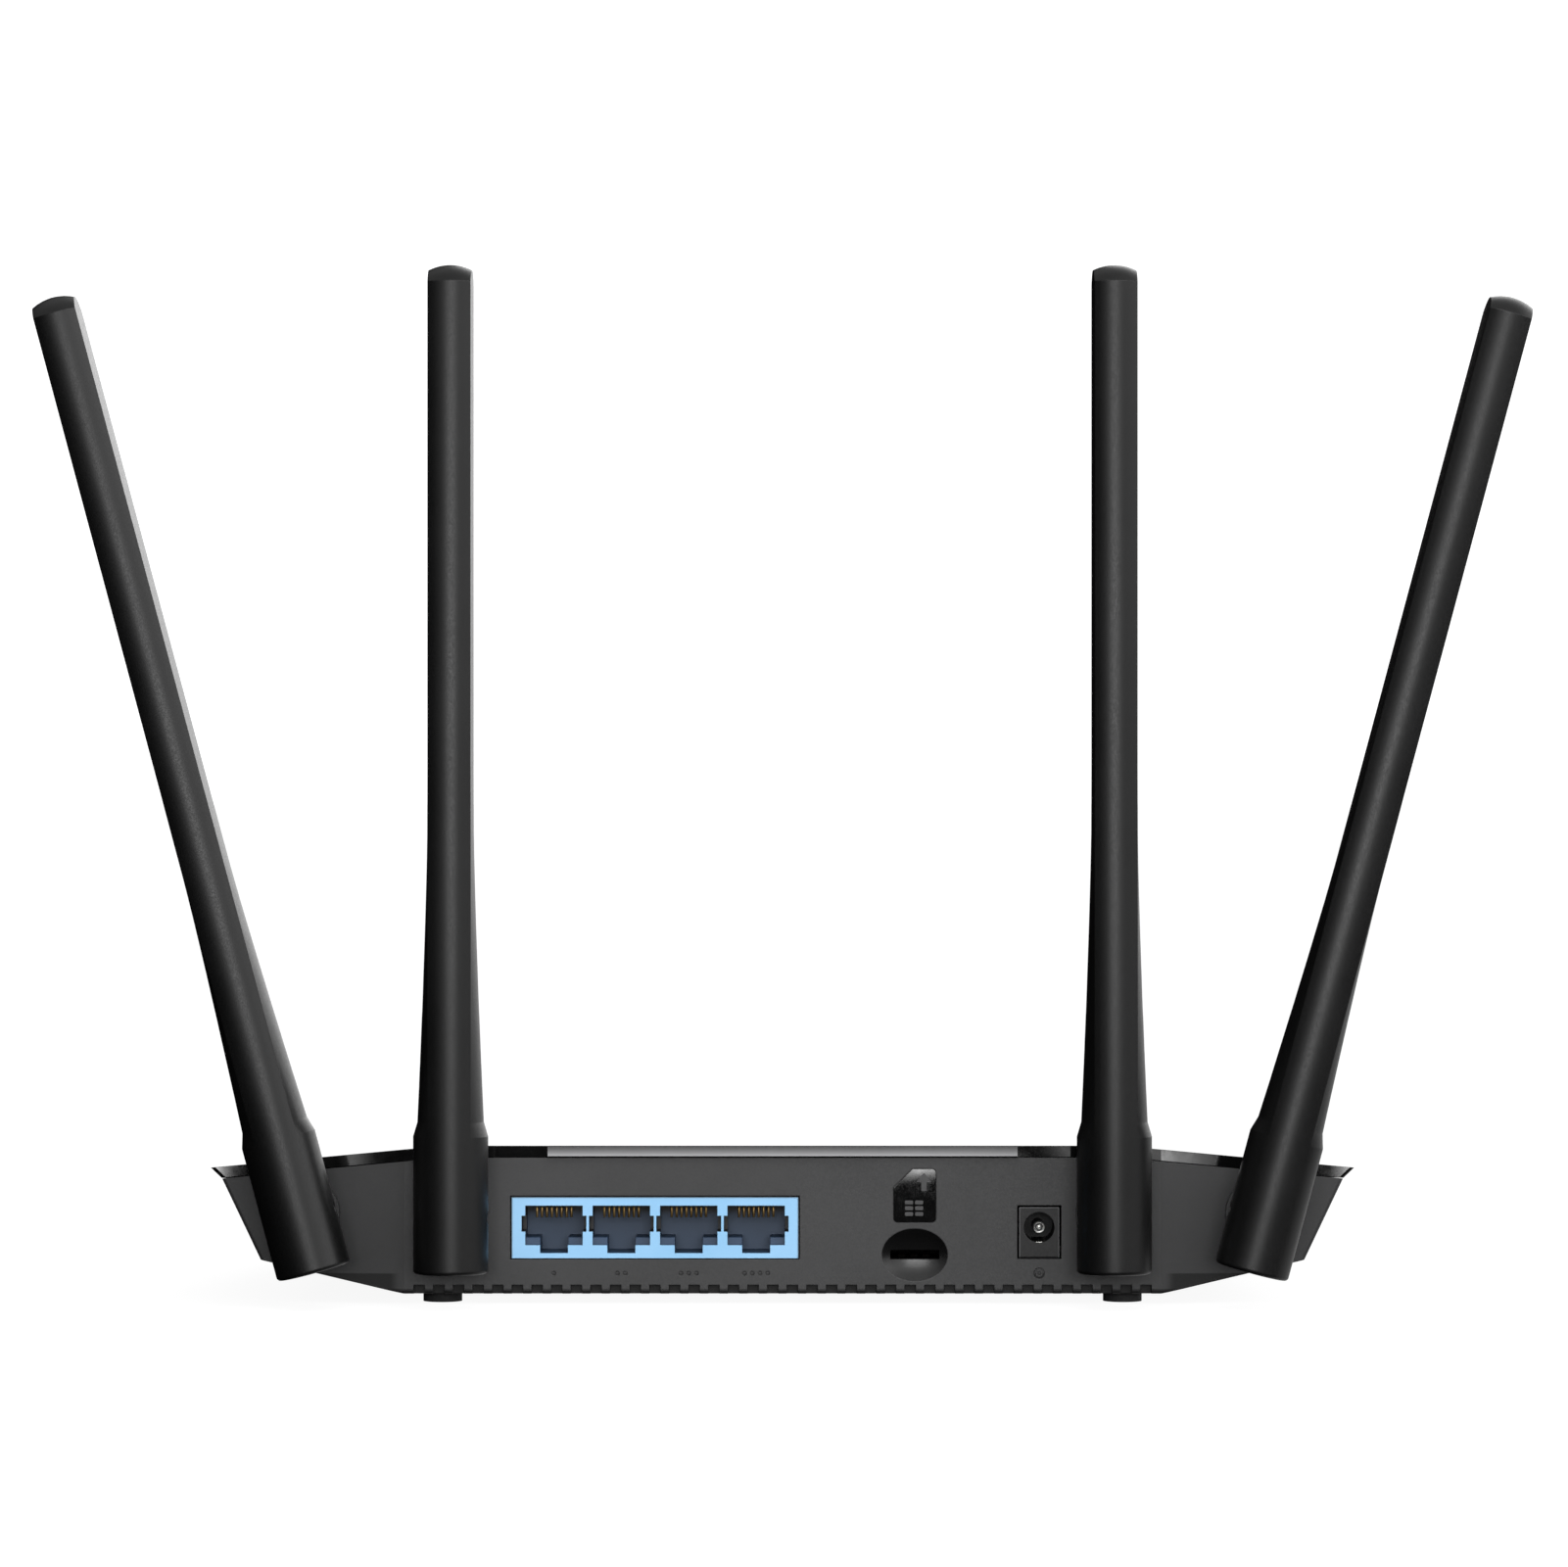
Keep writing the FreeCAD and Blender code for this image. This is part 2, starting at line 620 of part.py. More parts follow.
def insert_skin(margin, thickness):
    """The insert: a skin flush with the lid's top, and its nose."""
    column = insert_column(margin)
    behind_panel = box(-REACH, REACH, 0, 2 * BODY_DEPTH, 0, 2 * LID_TOP)
    skin = column.common(behind_panel).common(below_lid(0)).cut(below_lid(thickness))
    return fused([skin, column.common(insert_nose(thickness))])


def guide_spots():
    return [((index - (LED_COUNT - 1) / 2) * LED_PITCH, LED_Y) for index in range(LED_COUNT)]


def guide_holes():
    return [post(x, y, GUIDE_RADIUS + SNUG_GAP, BOARD_TOP, LID_TOP + 1) for x, y in guide_spots()]


def lid_lip():
    """Rim under the lid that drops inside the case wall."""
    ring = carve(seed(), inset(case_planes(), WALL + SNUG_GAP))
    ring = ring.cut(carve(seed(), inset(case_planes(), WALL + SNUG_GAP + LIP_THICKNESS)))
    return ring.common(below_lid(LID_BAND / 2)).cut(below_lid(LID_BAND + LIP_DEPTH))


def top_cover():
    roof = outline_block(lid_planes()).common(below_lid(0)).cut(below_lid(LID_BAND))
    posts = []
    for x, y in case_screw_spots():
        column = post(x, y, LID_POST_RADIUS, POST_SPLIT + POST_GAP, LID_TOP)
        posts.append(column.common(below_lid(LID_BAND / 2)))
    cover = fused([roof, lid_lip(), *posts])
    cuts = [insert_skin(SNUG_GAP, INSERT_THICKNESS + SNUG_GAP), *guide_holes()]
    for x, y in case_screw_spots():
        cuts.append(post(x, y, CASE_SCREW_RADIUS, POST_SPLIT, CASE_SCREW_TOP + 1))
    return cover.cut(cuts)


def top_panel():
    return insert_skin(0, INSERT_THICKNESS).cut(guide_holes())


def light_guide():
    """Six light rods joined by a rail that sits against the underside of the lid."""
    underside = lid_height(0, LED_Y + 2) - LID_BAND
    length = (LED_COUNT - 1) * LED_PITCH + 4.0
    rail = block(0, LED_Y, length, 4.0, underside - 2.0, underside)
    rods = [post(x, y, GUIDE_RADIUS, BOARD_TOP + 1.0, LID_TOP) for x, y in guide_spots()]
    return fused([rail, *rods]).common(below_lid(0))


def case_screws():
    screws = []
    for x, y in case_screw_spots():
        head = post(x, y, CASE_HEAD_RADIUS, CASE_HEAD_TOP - CASE_HEAD_HEIGHT, CASE_HEAD_TOP)
        shank = post(x, y, CASE_SCREW_RADIUS, CASE_HEAD_TOP - 0.5, CASE_SCREW_TOP)
        recess = CASE_HEAD_TOP - CASE_HEAD_HEIGHT
        slots = [
            block(x, y, 3.0, 0.7, recess - 1, recess + 1),
            block(x, y, 0.7, 3.0, recess - 1, recess + 1),
        ]
        screws.append(fused([head, shank]).cut(slots))
    return screws


# ---- rear sockets --------------------------------------------------------------------------
def port_centres():
    first = LAN_CENTRE_X - LAN_PITCH * (LAN_PORTS - 1) / 2
    return [first + index * LAN_PITCH for index in range(LAN_PORTS)]


def port_hollow(x):
    """One modular socket: main opening, side notches and keyway, less its inner ledges."""
    front = SOCKET_RECESS - 1
    back = SOCKET_RECESS + PORT_DEPTH
    floor = SOCKET_BASE + PORT_FLOOR
    half = PORT_WIDTH / 2
    main = box(x - half, x + half, front, back, floor, floor + PORT_HEIGHT)
    notch_z = floor + PORT_NOTCH_RISE
    wide = half + PORT_NOTCH
    notches = box(x - wide, x + wide, front, back - 4, notch_z, notch_z + PORT_NOTCH_HEIGHT)
    key = KEYWAY_WIDTH / 2
    keyway = box(x - key, x + key, front, back, floor - KEYWAY_DROP, floor + 1)
    hollow = fused([main, notches, keyway])
    ledge_y = SOCKET_RECESS + LEDGE_SETBACK
    left = box(x - half - 1, x - half + LEDGE_WIDTH, ledge_y, back + 1, floor - 1, floor + LEDGE_HEIGHT)
    right = box(x + half - LEDGE_WIDTH, x + half + 1, ledge_y, back + 1, floor - 1, floor + LEDGE_HEIGHT)
    return hollow.cut([left, right])


def lan_socket_block():
    half = LAN_BLOCK_WIDTH / 2
    body = box(
        LAN_CENTRE_X - half,
        LAN_CENTRE_X + half,
        SOCKET_RECESS,
        SOCKET_RECESS + LAN_BLOCK_DEPTH,
        SOCKET_BASE,
        SOCKET_BASE + LAN_BLOCK_HEIGHT,
    )
    pegs = []
    for side in (-1, 1):
        x = LAN_CENTRE_X + side * (half - 4)
        pegs.append(post(x, SOCKET_RECESS + 10, 1.5, BOARD_TOP, SOCKET_BASE + 1))
    return fused([body, *pegs]).cut([port_hollow(x) for x in port_centres()])


def lan_contacts():
    """Gold fingers that slope down from the roof of each port."""
    roof = SOCKET_BASE + PORT_FLOOR + PORT_HEIGHT
    front = SOCKET_RECESS + 1.5
    back = front + 7.0
    fingers = []
    for centre in port_centres():
        for index in range(CONTACTS):
            x = centre + (index - (CONTACTS - 1) / 2) * CONTACT_PITCH - CONTACT_WIDTH / 2
            profile = (
                (front, roof),
                (front + 1, roof),
                (back, roof - CONTACT_DROP + CONTACT_THICKNESS),
                (back, roof - CONTACT_DROP),
                (front, roof - CONTACT_THICKNESS),
            )
            outline = [Vector(x, y, z) for y, z in profile]
            fingers.append(prism(outline, Vector(CONTACT_WIDTH, 0, 0)))
    return fingers


def jack_axis_z():
    return BOARD_TOP + JACK_LIFT + JACK_HOLE_RISE


def dc_jack_body():
    half = JACK_WIDTH / 2
    front = SOCKET_RECESS
    back = front + JACK_DEPTH
    low = BOARD_TOP + JACK_LIFT
    body = box(JACK_X - half, JACK_X + half, front, back, BOARD_TOP, low + JACK_HEIGHT)
    body = body.cut(box(JACK_X - half, JACK_X + half, front, JACK_NOSE, BOARD_TOP, low))
    hole = rod_y(JACK_X, jack_axis_z(), JACK_HOLE_RADIUS, front - 1, front + JACK_HOLE_DEPTH)
    pin_seat = rod_y(JACK_X, jack_axis_z(), JACK_PIN_RADIUS, front, back - 1)
    return body.cut([hole, pin_seat, jack_spring_seat()])


def jack_spring_seat():
    """Flat trough in the floor of the hole that the spring contact lies in."""
    floor = jack_axis_z() - JACK_HOLE_RADIUS
    front = SOCKET_RECESS
    return box(JACK_X - 1.6, JACK_X + 1.6, front + 0.6, front + JACK_HOLE_DEPTH, floor - 0.2, floor + 1)


def dc_jack_pin():
    """Centre pin with a rounded, drilled tip."""
    tip = SOCKET_RECESS + JACK_HOLE_DEPTH - JACK_PIN_LENGTH
    back = SOCKET_RECESS + JACK_DEPTH - 1
    pin = rod_y(JACK_X, jack_axis_z(), JACK_PIN_RADIUS, tip, back)
    rim = [e for e in pin.Edges if abs(e.CenterOfMass.y - tip) < 0.01]
    pin = pin.makeFillet(JACK_PIN_RADIUS * 0.4, rim)
    return pin.cut(rod_y(JACK_X, jack_axis_z(), JACK_PIN_RADIUS * 0.4, tip - 1, tip + 2))


def dc_jack_spring():
    """Leaf contact bowed up from the floor of the hole."""
    floor = jack_axis_z() - JACK_HOLE_RADIUS - 0.2
    front = SOCKET_RECESS + 0.8
    back = SOCKET_RECESS + JACK_HOLE_DEPTH
    middle = (front + back) / 2
    profile = ((front, 0.0), (middle, 0.7), (back, 0.0), (back, 0.3), (middle, 1.0), (front, 0.3))
    outline = [Vector(JACK_X - 1.4, y, floor + z) for y, z in profile]
    return prism(outline, Vector(2.8, 0, 0))


def sim_socket():
    """Metal card cage on the board behind the slot."""
    half = SIM_SLOT_WIDTH / 2 + 1.2
    outer = box(SIM_X - half, SIM_X + half, WALL + 0.6, WALL + 15.6, BOARD_TOP, BOARD_TOP + 2.6)
    half -= 0.4
    hollow = box(SIM_X - half, SIM_X + half, WALL - 1, WALL + 15.0, BOARD_TOP + 0.3, BOARD_TOP + 2.3)
    return outer.cut(hollow)


def sim_contacts():
    pads = []
    for column in (-1, 0, 1):
        for row in (0, 1):
            x = SIM_X + column * 2.54
            y = WALL + 6.0 + row * 5.0
            pads.append(block(x, y, 1.4, 2.2, BOARD_TOP + 0.3, BOARD_TOP + 0.8))
    return pads


def sim_marker():
    """Glossy card symbol let into the panel, with an arrow cut into it."""
    face = card_block(0, MARKER_THICKNESS + MARKER_PROUD)
    face.translate(Vector(0, -MARKER_PROUD, 0))
    tip = (SIM_X + MARKER_WIDTH * 0.22, MARKER_Z + MARKER_HEIGHT * 0.42)
    arrow = (
        (0.0, 0.0),
        (-1.5, -1.7),
        (-0.55, -1.7),
        (-0.55, -3.6),
        (0.55, -3.6),
        (0.55, -1.7),
        (1.5, -1.7),
    )
    outline = [Vector(tip[0] + x, -1, tip[1] + z) for x, z in arrow]
    return face.cut(prism(outline, Vector(0, 1 + MARK_DEPTH, 0)))


# ---- board ---------------------------------------------------------------------------------
def main_pcb():
    board = box(-BOARD_HALF, BOARD_HALF, BOARD_REAR, BOARD_FRONT, BOARD_BOTTOM, BOARD_TOP)
    holes = []
    for x, y in board_screw_spots():
        holes.append(post(x, y, BOARD_SCREW_RADIUS + 0.35, BOARD_BOTTOM - 1, BOARD_TOP + 1))
    return board.cut(holes)


def pcb_screws():
    screws = []
    for x, y in board_screw_spots():
        shank = post(x, y, BOARD_SCREW_RADIUS, FOOT_HEIGHT + 1.2, BOARD_TOP + 0.5)
        head = post(x, y, BOARD_HEAD_RADIUS, BOARD_TOP, BOARD_TOP + BOARD_HEAD_HEIGHT)
        slot = block(x, y, 2.6, 0.6, BOARD_TOP + 0.8, BOARD_TOP + 2)
        screws.append(fused([shank, head]).cut(slot))
    return screws


def on_board(x, y, width, depth, height):
    return block(x, y, width, depth, BOARD_TOP, BOARD_TOP + height)


def can(x, y, width, depth, height):
    """Folded sheet-metal shield, open towards the board."""
    hollow = block(x, y, width - 0.6, depth - 0.6, BOARD_TOP - 1, BOARD_TOP + height - 0.3)
    return on_board(x, y, width, depth, height).cut(hollow)


def wifi_shields():
    """Cans over the radio chips."""
    return [can(x, y, WIFI_CAN_WIDTH, WIFI_CAN_DEPTH, CAN_HEIGHT) for x, y in WIFI_SPOTS]


def lte_shield():
    x, y = LTE_SPOT
    margin = 2.0
    cover = can(x, y, LTE_WIDTH - margin, LTE_DEPTH - margin, CAN_HEIGHT)
    cover.translate(Vector(0, 0, LTE_BOARD))
    return cover


def thermal_pad():
    x, y = PROCESSOR_SPOT
    low = BOARD_TOP + PROCESSOR_HEIGHT
    return block(x, y, PROCESSOR_SIZE, PROCESSOR_SIZE, low, low + PAD_HEIGHT)


def heatsink():
    """Aluminium plate with upright fins on the processor's pad."""
    x, y = PROCESSOR_SPOT
    base = BOARD_TOP + PROCESSOR_HEIGHT + PAD_HEIGHT
    top = base + HEATSINK_HEIGHT
    solid = block(x, y, HEATSINK_SIZE, HEATSINK_SIZE, base, top)
    pitch = (HEATSINK_SIZE + FIN_GAP) / (FIN_GAPS + 1)
    gaps = []
    for index in range(FIN_GAPS):
        gap_x = x + (index - (FIN_GAPS - 1) / 2) * pitch
        gaps.append(block(gap_x, y, FIN_GAP, HEATSINK_SIZE + 2, base + HEATSINK_PLATE, top + 1))
    return solid.cut(gaps)


def capacitors():
    """Round cans with the rolled groove near their foot."""
    cans = []
    for x, y in CAPACITOR_SPOTS:
        shell = post(x, y, CAPACITOR_RADIUS, BOARD_TOP, BOARD_TOP + CAPACITOR_HEIGHT)
        groove = post(x, y, CAPACITOR_RADIUS + 1, BOARD_TOP + 1.4, BOARD_TOP + 1.9)
        groove = groove.cut(post(x, y, CAPACITOR_RADIUS - 0.3, BOARD_TOP, BOARD_TOP + 3))
        cans.append(shell.cut(groove))
    return cans


def reset_switch():
    """Push switch under the board with a blind guide for its plunger."""
    body = block(RESET_X, RESET_Y, 4.2, 3.4, BOARD_BOTTOM - 1.9, BOARD_BOTTOM)
    radius = RESET_RADIUS + RUNNING_GAP
    return body.cut(post(RESET_X, RESET_Y, radius, BOARD_BOTTOM - 3, BOARD_BOTTOM - 0.5))


def reset_plunger():
    return post(RESET_X, RESET_Y, RESET_RADIUS, BOARD_BOTTOM - 2.6, BOARD_BOTTOM - 1.1)


# ---- antenna leads -------------------------------------------------------------------------
def lead_path(points):
    """Straight runs joined by tangent arcs of radius LEAD_BEND."""
    edges = []
    here = points[0]
    for corner, after in zip(points[1:-1], points[2:]):
        toward = (corner - here).normalize()
        away = (after - corner).normalize()
        turn = toward.getAngle(away)
        reach = LEAD_BEND * math.tan(turn / 2)
        start = corner - toward * reach
        end = corner + away * reach
        inward = (away - toward).normalize()
        middle = corner + inward * (LEAD_BEND / math.cos(turn / 2) - LEAD_BEND)
        edges.append(Part.LineSegment(here, start).toShape())
        edges.append(Part.Arc(start, middle, end).toShape())
        here = end
    edges.append(Part.LineSegment(here, points[-1]).toShape())
    return Part.Wire(edges)


def is_outer(pivot_x):
    return abs(pivot_x) > INNER_PIVOT_X


def plug_spot(pivot_x):
    """Place of an antenna's snap-on plug on the board, for the right-hand side."""
    return PLUG_X, OUTER_PLUG_Y if is_outer(pivot_x) else INNER_PLUG_Y


def antenna_plug(pivot_x):
    x, y = plug_spot(pivot_x)
    return post(math.copysign(x, pivot_x), y, PLUG_RADIUS, BOARD_TOP, BOARD_TOP + 1.8)


def antenna_lead(pivot_x):
    """Thin coaxial lead from its plug to inside the hollow swivel shaft."""
    x, y = plug_spot(pivot_x)
    z = BOARD_TOP + 1.0
    reach = abs(pivot_x)
    if is_outer(pivot_x):
        points = [
            Vector(x + PLUG_RADIUS + LEAD_GAP, y, z),
            Vector(x + 11.0, y - 2.0, z + 1.0),
            Vector(reach - 7.4, y - 30.0, PIVOT_Z - 2.0),
        ]
    else:
        points = [
            Vector(x, y - PLUG_RADIUS - LEAD_GAP, z),
            Vector(x + 1.0, y - 18.0, z + 4.0),
        ]
    points += [Vector(reach, 14.0, PIVOT_Z), Vector(reach, 2.5, PIVOT_Z)]
    path = lead_path(points)
    ring = Part.Wire([Part.makeCircle(LEAD_RADIUS, points[0], points[1] - points[0])])
    lead = path.makePipeShell([ring], True, True)
    return lead if pivot_x > 0 else mirrored(lead)


# ---- antennas, drawn upright with the tilt axis at the origin and the panel towards +Y -------
def blade_half(height):
    """Half width of the blade above the shoulder."""
    share = max(0.0, (TAPER_END - height) / (TAPER_END - SHOULDER_HIGH))
    slim = BLADE_HALF + BLADE_BULGE
    return slim + (NECK_HALF - slim) * share**TAPER_POWER


def antenna_section(height, half):
    """Two faces on the foot's circle joined by side arcs that bow out to `half`."""
    depth = math.sqrt(ANTENNA_RADIUS**2 - BLADE_HALF**2)
    corners = [
        Vector(-BLADE_HALF, -depth, height),
        Vector(BLADE_HALF, -depth, height),
        Vector(BLADE_HALF, depth, height),
        Vector(-BLADE_HALF, depth, height),
    ]
    bows = [
        Vector(0, -ANTENNA_RADIUS, height),
        Vector(half, 0, height),
        Vector(0, ANTENNA_RADIUS, height),
        Vector(-half, 0, height),
    ]
    edges = []
    for index in range(4):
        edges.append(Part.Arc(corners[index], bows[index], corners[(index + 1) % 4]).toShape())
    return Part.Wire(edges)


def antenna_foot():
    """Round foot, cleared at its router side for tilting and slotted for the hinge tongue."""
    foot = post(0, 0, ANTENNA_RADIUS, -ANTENNA_BELOW, SHOULDER_LOW)
    rim = [e for e in foot.Edges if abs(e.CenterOfMass.z + ANTENNA_BELOW) < 0.01]
    foot = foot.makeFillet(FOOT_EDGE_RADIUS, rim)
    corner = box(-10, 10, 0, 10, -ANTENNA_BELOW - 1, 0).cut(rod_x(0, 0, TILT_CLEAR_RADIUS, 11))
    half = TONGUE_HALF + SLIDE_GAP
    sweep = TONGUE_RADIUS + SLIDE_GAP
    slot = fused([
        rod_x(0, 0, sweep, half),
        box(-half, half, 0, 10, -ANTENNA_BELOW - 1, sweep),
        box(-half, half, -sweep, 10, -ANTENNA_BELOW - 1, 0),
    ])
    return foot.cut([corner, slot, rod_x(0, 0, HINGE_PIN_RADIUS, ANTENNA_RADIUS + 1)])


def antenna_blade():
    """Shoulder, tapering neck, straight blade and domed crown."""
    neck = antenna_section(SHOULDER_HIGH, NECK_HALF)
    shoulder = Part.makeLoft([antenna_section(SHOULDER_LOW, ANTENNA_RADIUS), neck], True, True)
    steps = 6
    rise = (TAPER_END - SHOULDER_HIGH) / steps
    heights = [SHOULDER_HIGH + index * rise for index in range(steps + 1)]
    taper = Part.makeLoft([antenna_section(h, blade_half(h)) for h in heights], True, False)
    slim = antenna_section(TAPER_END, BLADE_HALF + BLADE_BULGE)
    dome_base = ANTENNA_ABOVE - CROWN_RADIUS
    straight = Part.Face(slim).extrude(Vector(0, 0, dome_base - TAPER_END))
    crown = Part.Face(antenna_section(dome_base, BLADE_HALF + BLADE_BULGE))
    crown = crown.extrude(Vector(0, 0, CROWN_RADIUS + 1))
    crown = crown.common(Part.makeSphere(CROWN_RADIUS, Vector(0, 0, dome_base)))
    return [shoulder, taper, straight, crown]


COVER_HALF = 4.0
COVER_SEAT = 5.2
COVER_LOW = 7.5
COVER_HIGH = 15.5


def cavity():
    """Room for the radiator, its loading window and the lead's way in."""
    half = BLADE_HALF - BLADE_WALL
    room = box(-half, half, -CAVITY_HALF_DEPTH, CAVITY_HALF_DEPTH, CAVITY_FLOOR, CAVITY_ROOF)
    throat = box(-half, half, 0, COVER_SEAT + 1, COVER_LOW + 0.8, COVER_HIGH - 0.8)
    window = box(-COVER_HALF, COVER_HALF, COVER_SEAT, 10, COVER_LOW, COVER_HIGH)
    way_in = post(0, 3.0, 1.1, 0, CAVITY_FLOOR + 1)
    return [room, throat, window, way_in]


def antenna_shell():
    return fused([antenna_foot(), *antenna_blade()]).cut(cavity())


def antenna_cover():
    """Curved plug over the loading window, on the side that faces the router."""
    half = COVER_HALF - SNUG_GAP
    plug = box(-half, half, COVER_SEAT, 10, COVER_LOW + SNUG_GAP, COVER_HIGH - SNUG_GAP)
    return plug.common(post(0, 0, ANTENNA_RADIUS, COVER_LOW, COVER_HIGH))


def antenna_radiator():
    """Printed strip that stands in the blade's cavity."""
    half = CAVITY_HALF_DEPTH - 0.5
    return box(-0.4, 0.4, -half, half, CAVITY_FLOOR, CAVITY_ROOF - 4)


def swivel_base():
    """Flange and hollow shaft in the panel, and the tongue that carries the tilt pin."""
    face = ANTENNA_OFFSET - SNUG_GAP
    flange_y = face - FLANGE_THICKNESS
    end = ANTENNA_OFFSET + SWIVEL_BORE_LENGTH + SWIVEL_TAIL
    solids = [
        rod_y(0, 0, FLANGE_RADIUS, flange_y, face),
        rod_y(0, 0, SWIVEL_RADIUS, face - 0.5, end),
        box(-TONGUE_HALF, TONGUE_HALF, 0, flange_y + 0.5, -TONGUE_RADIUS, TONGUE_RADIUS),
        rod_x(0, 0, TONGUE_RADIUS, TONGUE_HALF),
    ]
    groove_y = clip_y() - SNUG_GAP / 2
    groove = rod_y(0, 0, SWIVEL_RADIUS + 1, groove_y, groove_y + CLIP_THICKNESS + SNUG_GAP)
    groove = groove.cut(rod_y(0, 0, SWIVEL_RADIUS - CLIP_GROOVE_DEPTH, 0, end))
    lead_way = rod_y(0, 0, 1.1, 4.0, end)
    lead_exit = post(0, 4.0, 1.1, 0, TONGUE_RADIUS + 1)
    hollow = rod_y(0, 0, LEAD_BORE_RADIUS, face, end + 1)
    bore = rod_x(0, 0, HINGE_PIN_RADIUS + RUNNING_GAP, TONGUE_HALF + 1)
    return fused(solids).cut([groove, hollow, lead_way, lead_exit, bore])


def clip_y():
    return ANTENNA_OFFSET + SWIVEL_BORE_LENGTH + SLIDE_GAP


def swivel_clip():
    """Open ring in the shaft's groove that keeps the swivel in the panel."""
    ring = rod_y(0, 0, CLIP_RADIUS, clip_y(), clip_y() + CLIP_THICKNESS)
    inner = SWIVEL_RADIUS - CLIP_GROOVE_DEPTH + SNUG_GAP / 2
    hole = rod_y(0, 0, inner, clip_y() - 1, clip_y() + 2)
    return ring.cut([hole, box(-2.5, 2.5, 0, REACH, -CLIP_RADIUS - 1, 0)])


def hinge_pin():
    return rod_x(0, 0, HINGE_PIN_RADIUS, HINGE_PIN_HALF)


def placed(shape, pivot_x, lean):
    """Turn an antenna piece to its lean and put it at its pivot."""
    copy = shape.copy()
    copy.Placement = Placement(
        Vector(pivot_x, -ANTENNA_OFFSET, PIVOT_Z), Rotation(Y_AXIS, lean)
    ).multiply(copy.Placement)
    return copy


# ---- build ---------------------------------------------------------------------------------
def save_case():
    save("bottom_housing", bottom_housing())
    save("top_cover", top_cover())
    save("top_panel", top_panel())
    save("rubber_feet", *rubber_feet())
    save("case_screws", *case_screws())
    save("light_guide", light_guide())


def save_sockets():
    save("lan_socket_block", lan_socket_block())
    save("lan_contacts", *lan_contacts())
    save("dc_jack_body", dc_jack_body())
    save("dc_jack_pin", dc_jack_pin())
    save("dc_jack_spring", dc_jack_spring())
    save("sim_socket", sim_socket())
    save("sim_contacts", *sim_contacts())
    save("sim_marker", sim_marker())


def save_board():
    save("main_pcb", main_pcb())
    save("pcb_screws", *pcb_screws())
    save("processor", on_board(*PROCESSOR_SPOT, PROCESSOR_SIZE, PROCESSOR_SIZE, PROCESSOR_HEIGHT))
    save("thermal_pad", thermal_pad())
    save("heatsink", heatsink())
    save("memory_chips", *[on_board(x, y, 9.0, 13.0, 1.1) for x, y in MEMORY_SPOTS])
    save("flash_chip", on_board(*FLASH_SPOT, 5.2, 6.0, 1.8))
    save("lan_transformers", *[on_board(x, y, 22.0, 8.0, 5.6) for x, y in TRANSFORMER_SPOTS])
    save("wifi_chips", *[on_board(x, y, 8.0, 8.0, 0.9) for x, y in WIFI_SPOTS])
    save("wifi_shields", *wifi_shields())
    save("lte_module", on_board(*LTE_SPOT, LTE_WIDTH, LTE_DEPTH, LTE_BOARD))
    save("lte_shield", lte_shield())
    save("capacitors", *capacitors())
    save("inductors", *[on_board(x, y, 6.6, 6.6, 3.0) for x, y in INDUCTOR_SPOTS])
    save("status_leds", *[on_board(x, y, 2.0, 1.2, 0.7) for x, y in guide_spots()])
    save("reset_switch", reset_switch())
    save("reset_plunger", reset_plunger())


def save_antennas():
    save("antenna_plugs", *[antenna_plug(x) for _, x, _ in ANTENNAS])
    save("antenna_leads", *[antenna_lead(x) for _, x, _ in ANTENNAS])
    pieces = {
        "swivel_base": swivel_base(),
        "swivel_clip": swivel_clip(),
        "hinge_pin": hinge_pin(),
        "antenna_shell": antenna_shell(),
        "antenna_cover": antenna_cover(),
        "antenna_radiator": antenna_radiator(),
    }
    for number, pivot_x, lean in ANTENNAS:
        for name, shape in pieces.items():
            save(f"{name}_{number}", placed(shape, pivot_x, lean))


os.makedirs("parts", exist_ok=True)
save_case()
save_sockets()
save_board()
save_antennas()
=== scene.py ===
import json
import math

import bmesh
import bpy
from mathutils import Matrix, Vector


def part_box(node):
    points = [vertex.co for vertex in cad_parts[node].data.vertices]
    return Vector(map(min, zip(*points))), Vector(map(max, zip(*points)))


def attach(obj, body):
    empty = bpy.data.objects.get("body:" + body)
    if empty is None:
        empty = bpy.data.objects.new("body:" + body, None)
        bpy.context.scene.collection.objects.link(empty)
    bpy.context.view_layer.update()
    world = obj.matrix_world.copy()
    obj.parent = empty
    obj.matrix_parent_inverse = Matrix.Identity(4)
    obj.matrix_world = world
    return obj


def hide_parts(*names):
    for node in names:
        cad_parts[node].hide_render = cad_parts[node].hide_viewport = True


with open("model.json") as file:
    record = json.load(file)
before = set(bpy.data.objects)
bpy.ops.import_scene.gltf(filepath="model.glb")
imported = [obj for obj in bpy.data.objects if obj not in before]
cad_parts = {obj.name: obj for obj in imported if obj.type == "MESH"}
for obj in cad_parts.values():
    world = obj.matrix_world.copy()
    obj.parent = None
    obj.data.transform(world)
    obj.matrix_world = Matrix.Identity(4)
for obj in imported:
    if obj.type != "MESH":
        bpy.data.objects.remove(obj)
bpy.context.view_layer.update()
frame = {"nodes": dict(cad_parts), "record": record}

# Rear view of a desktop router.  Everything is in metres in the frame of the CAD model: +Z up,
# +Y towards the router's front edge, the rear panel with its sockets facing -Y.

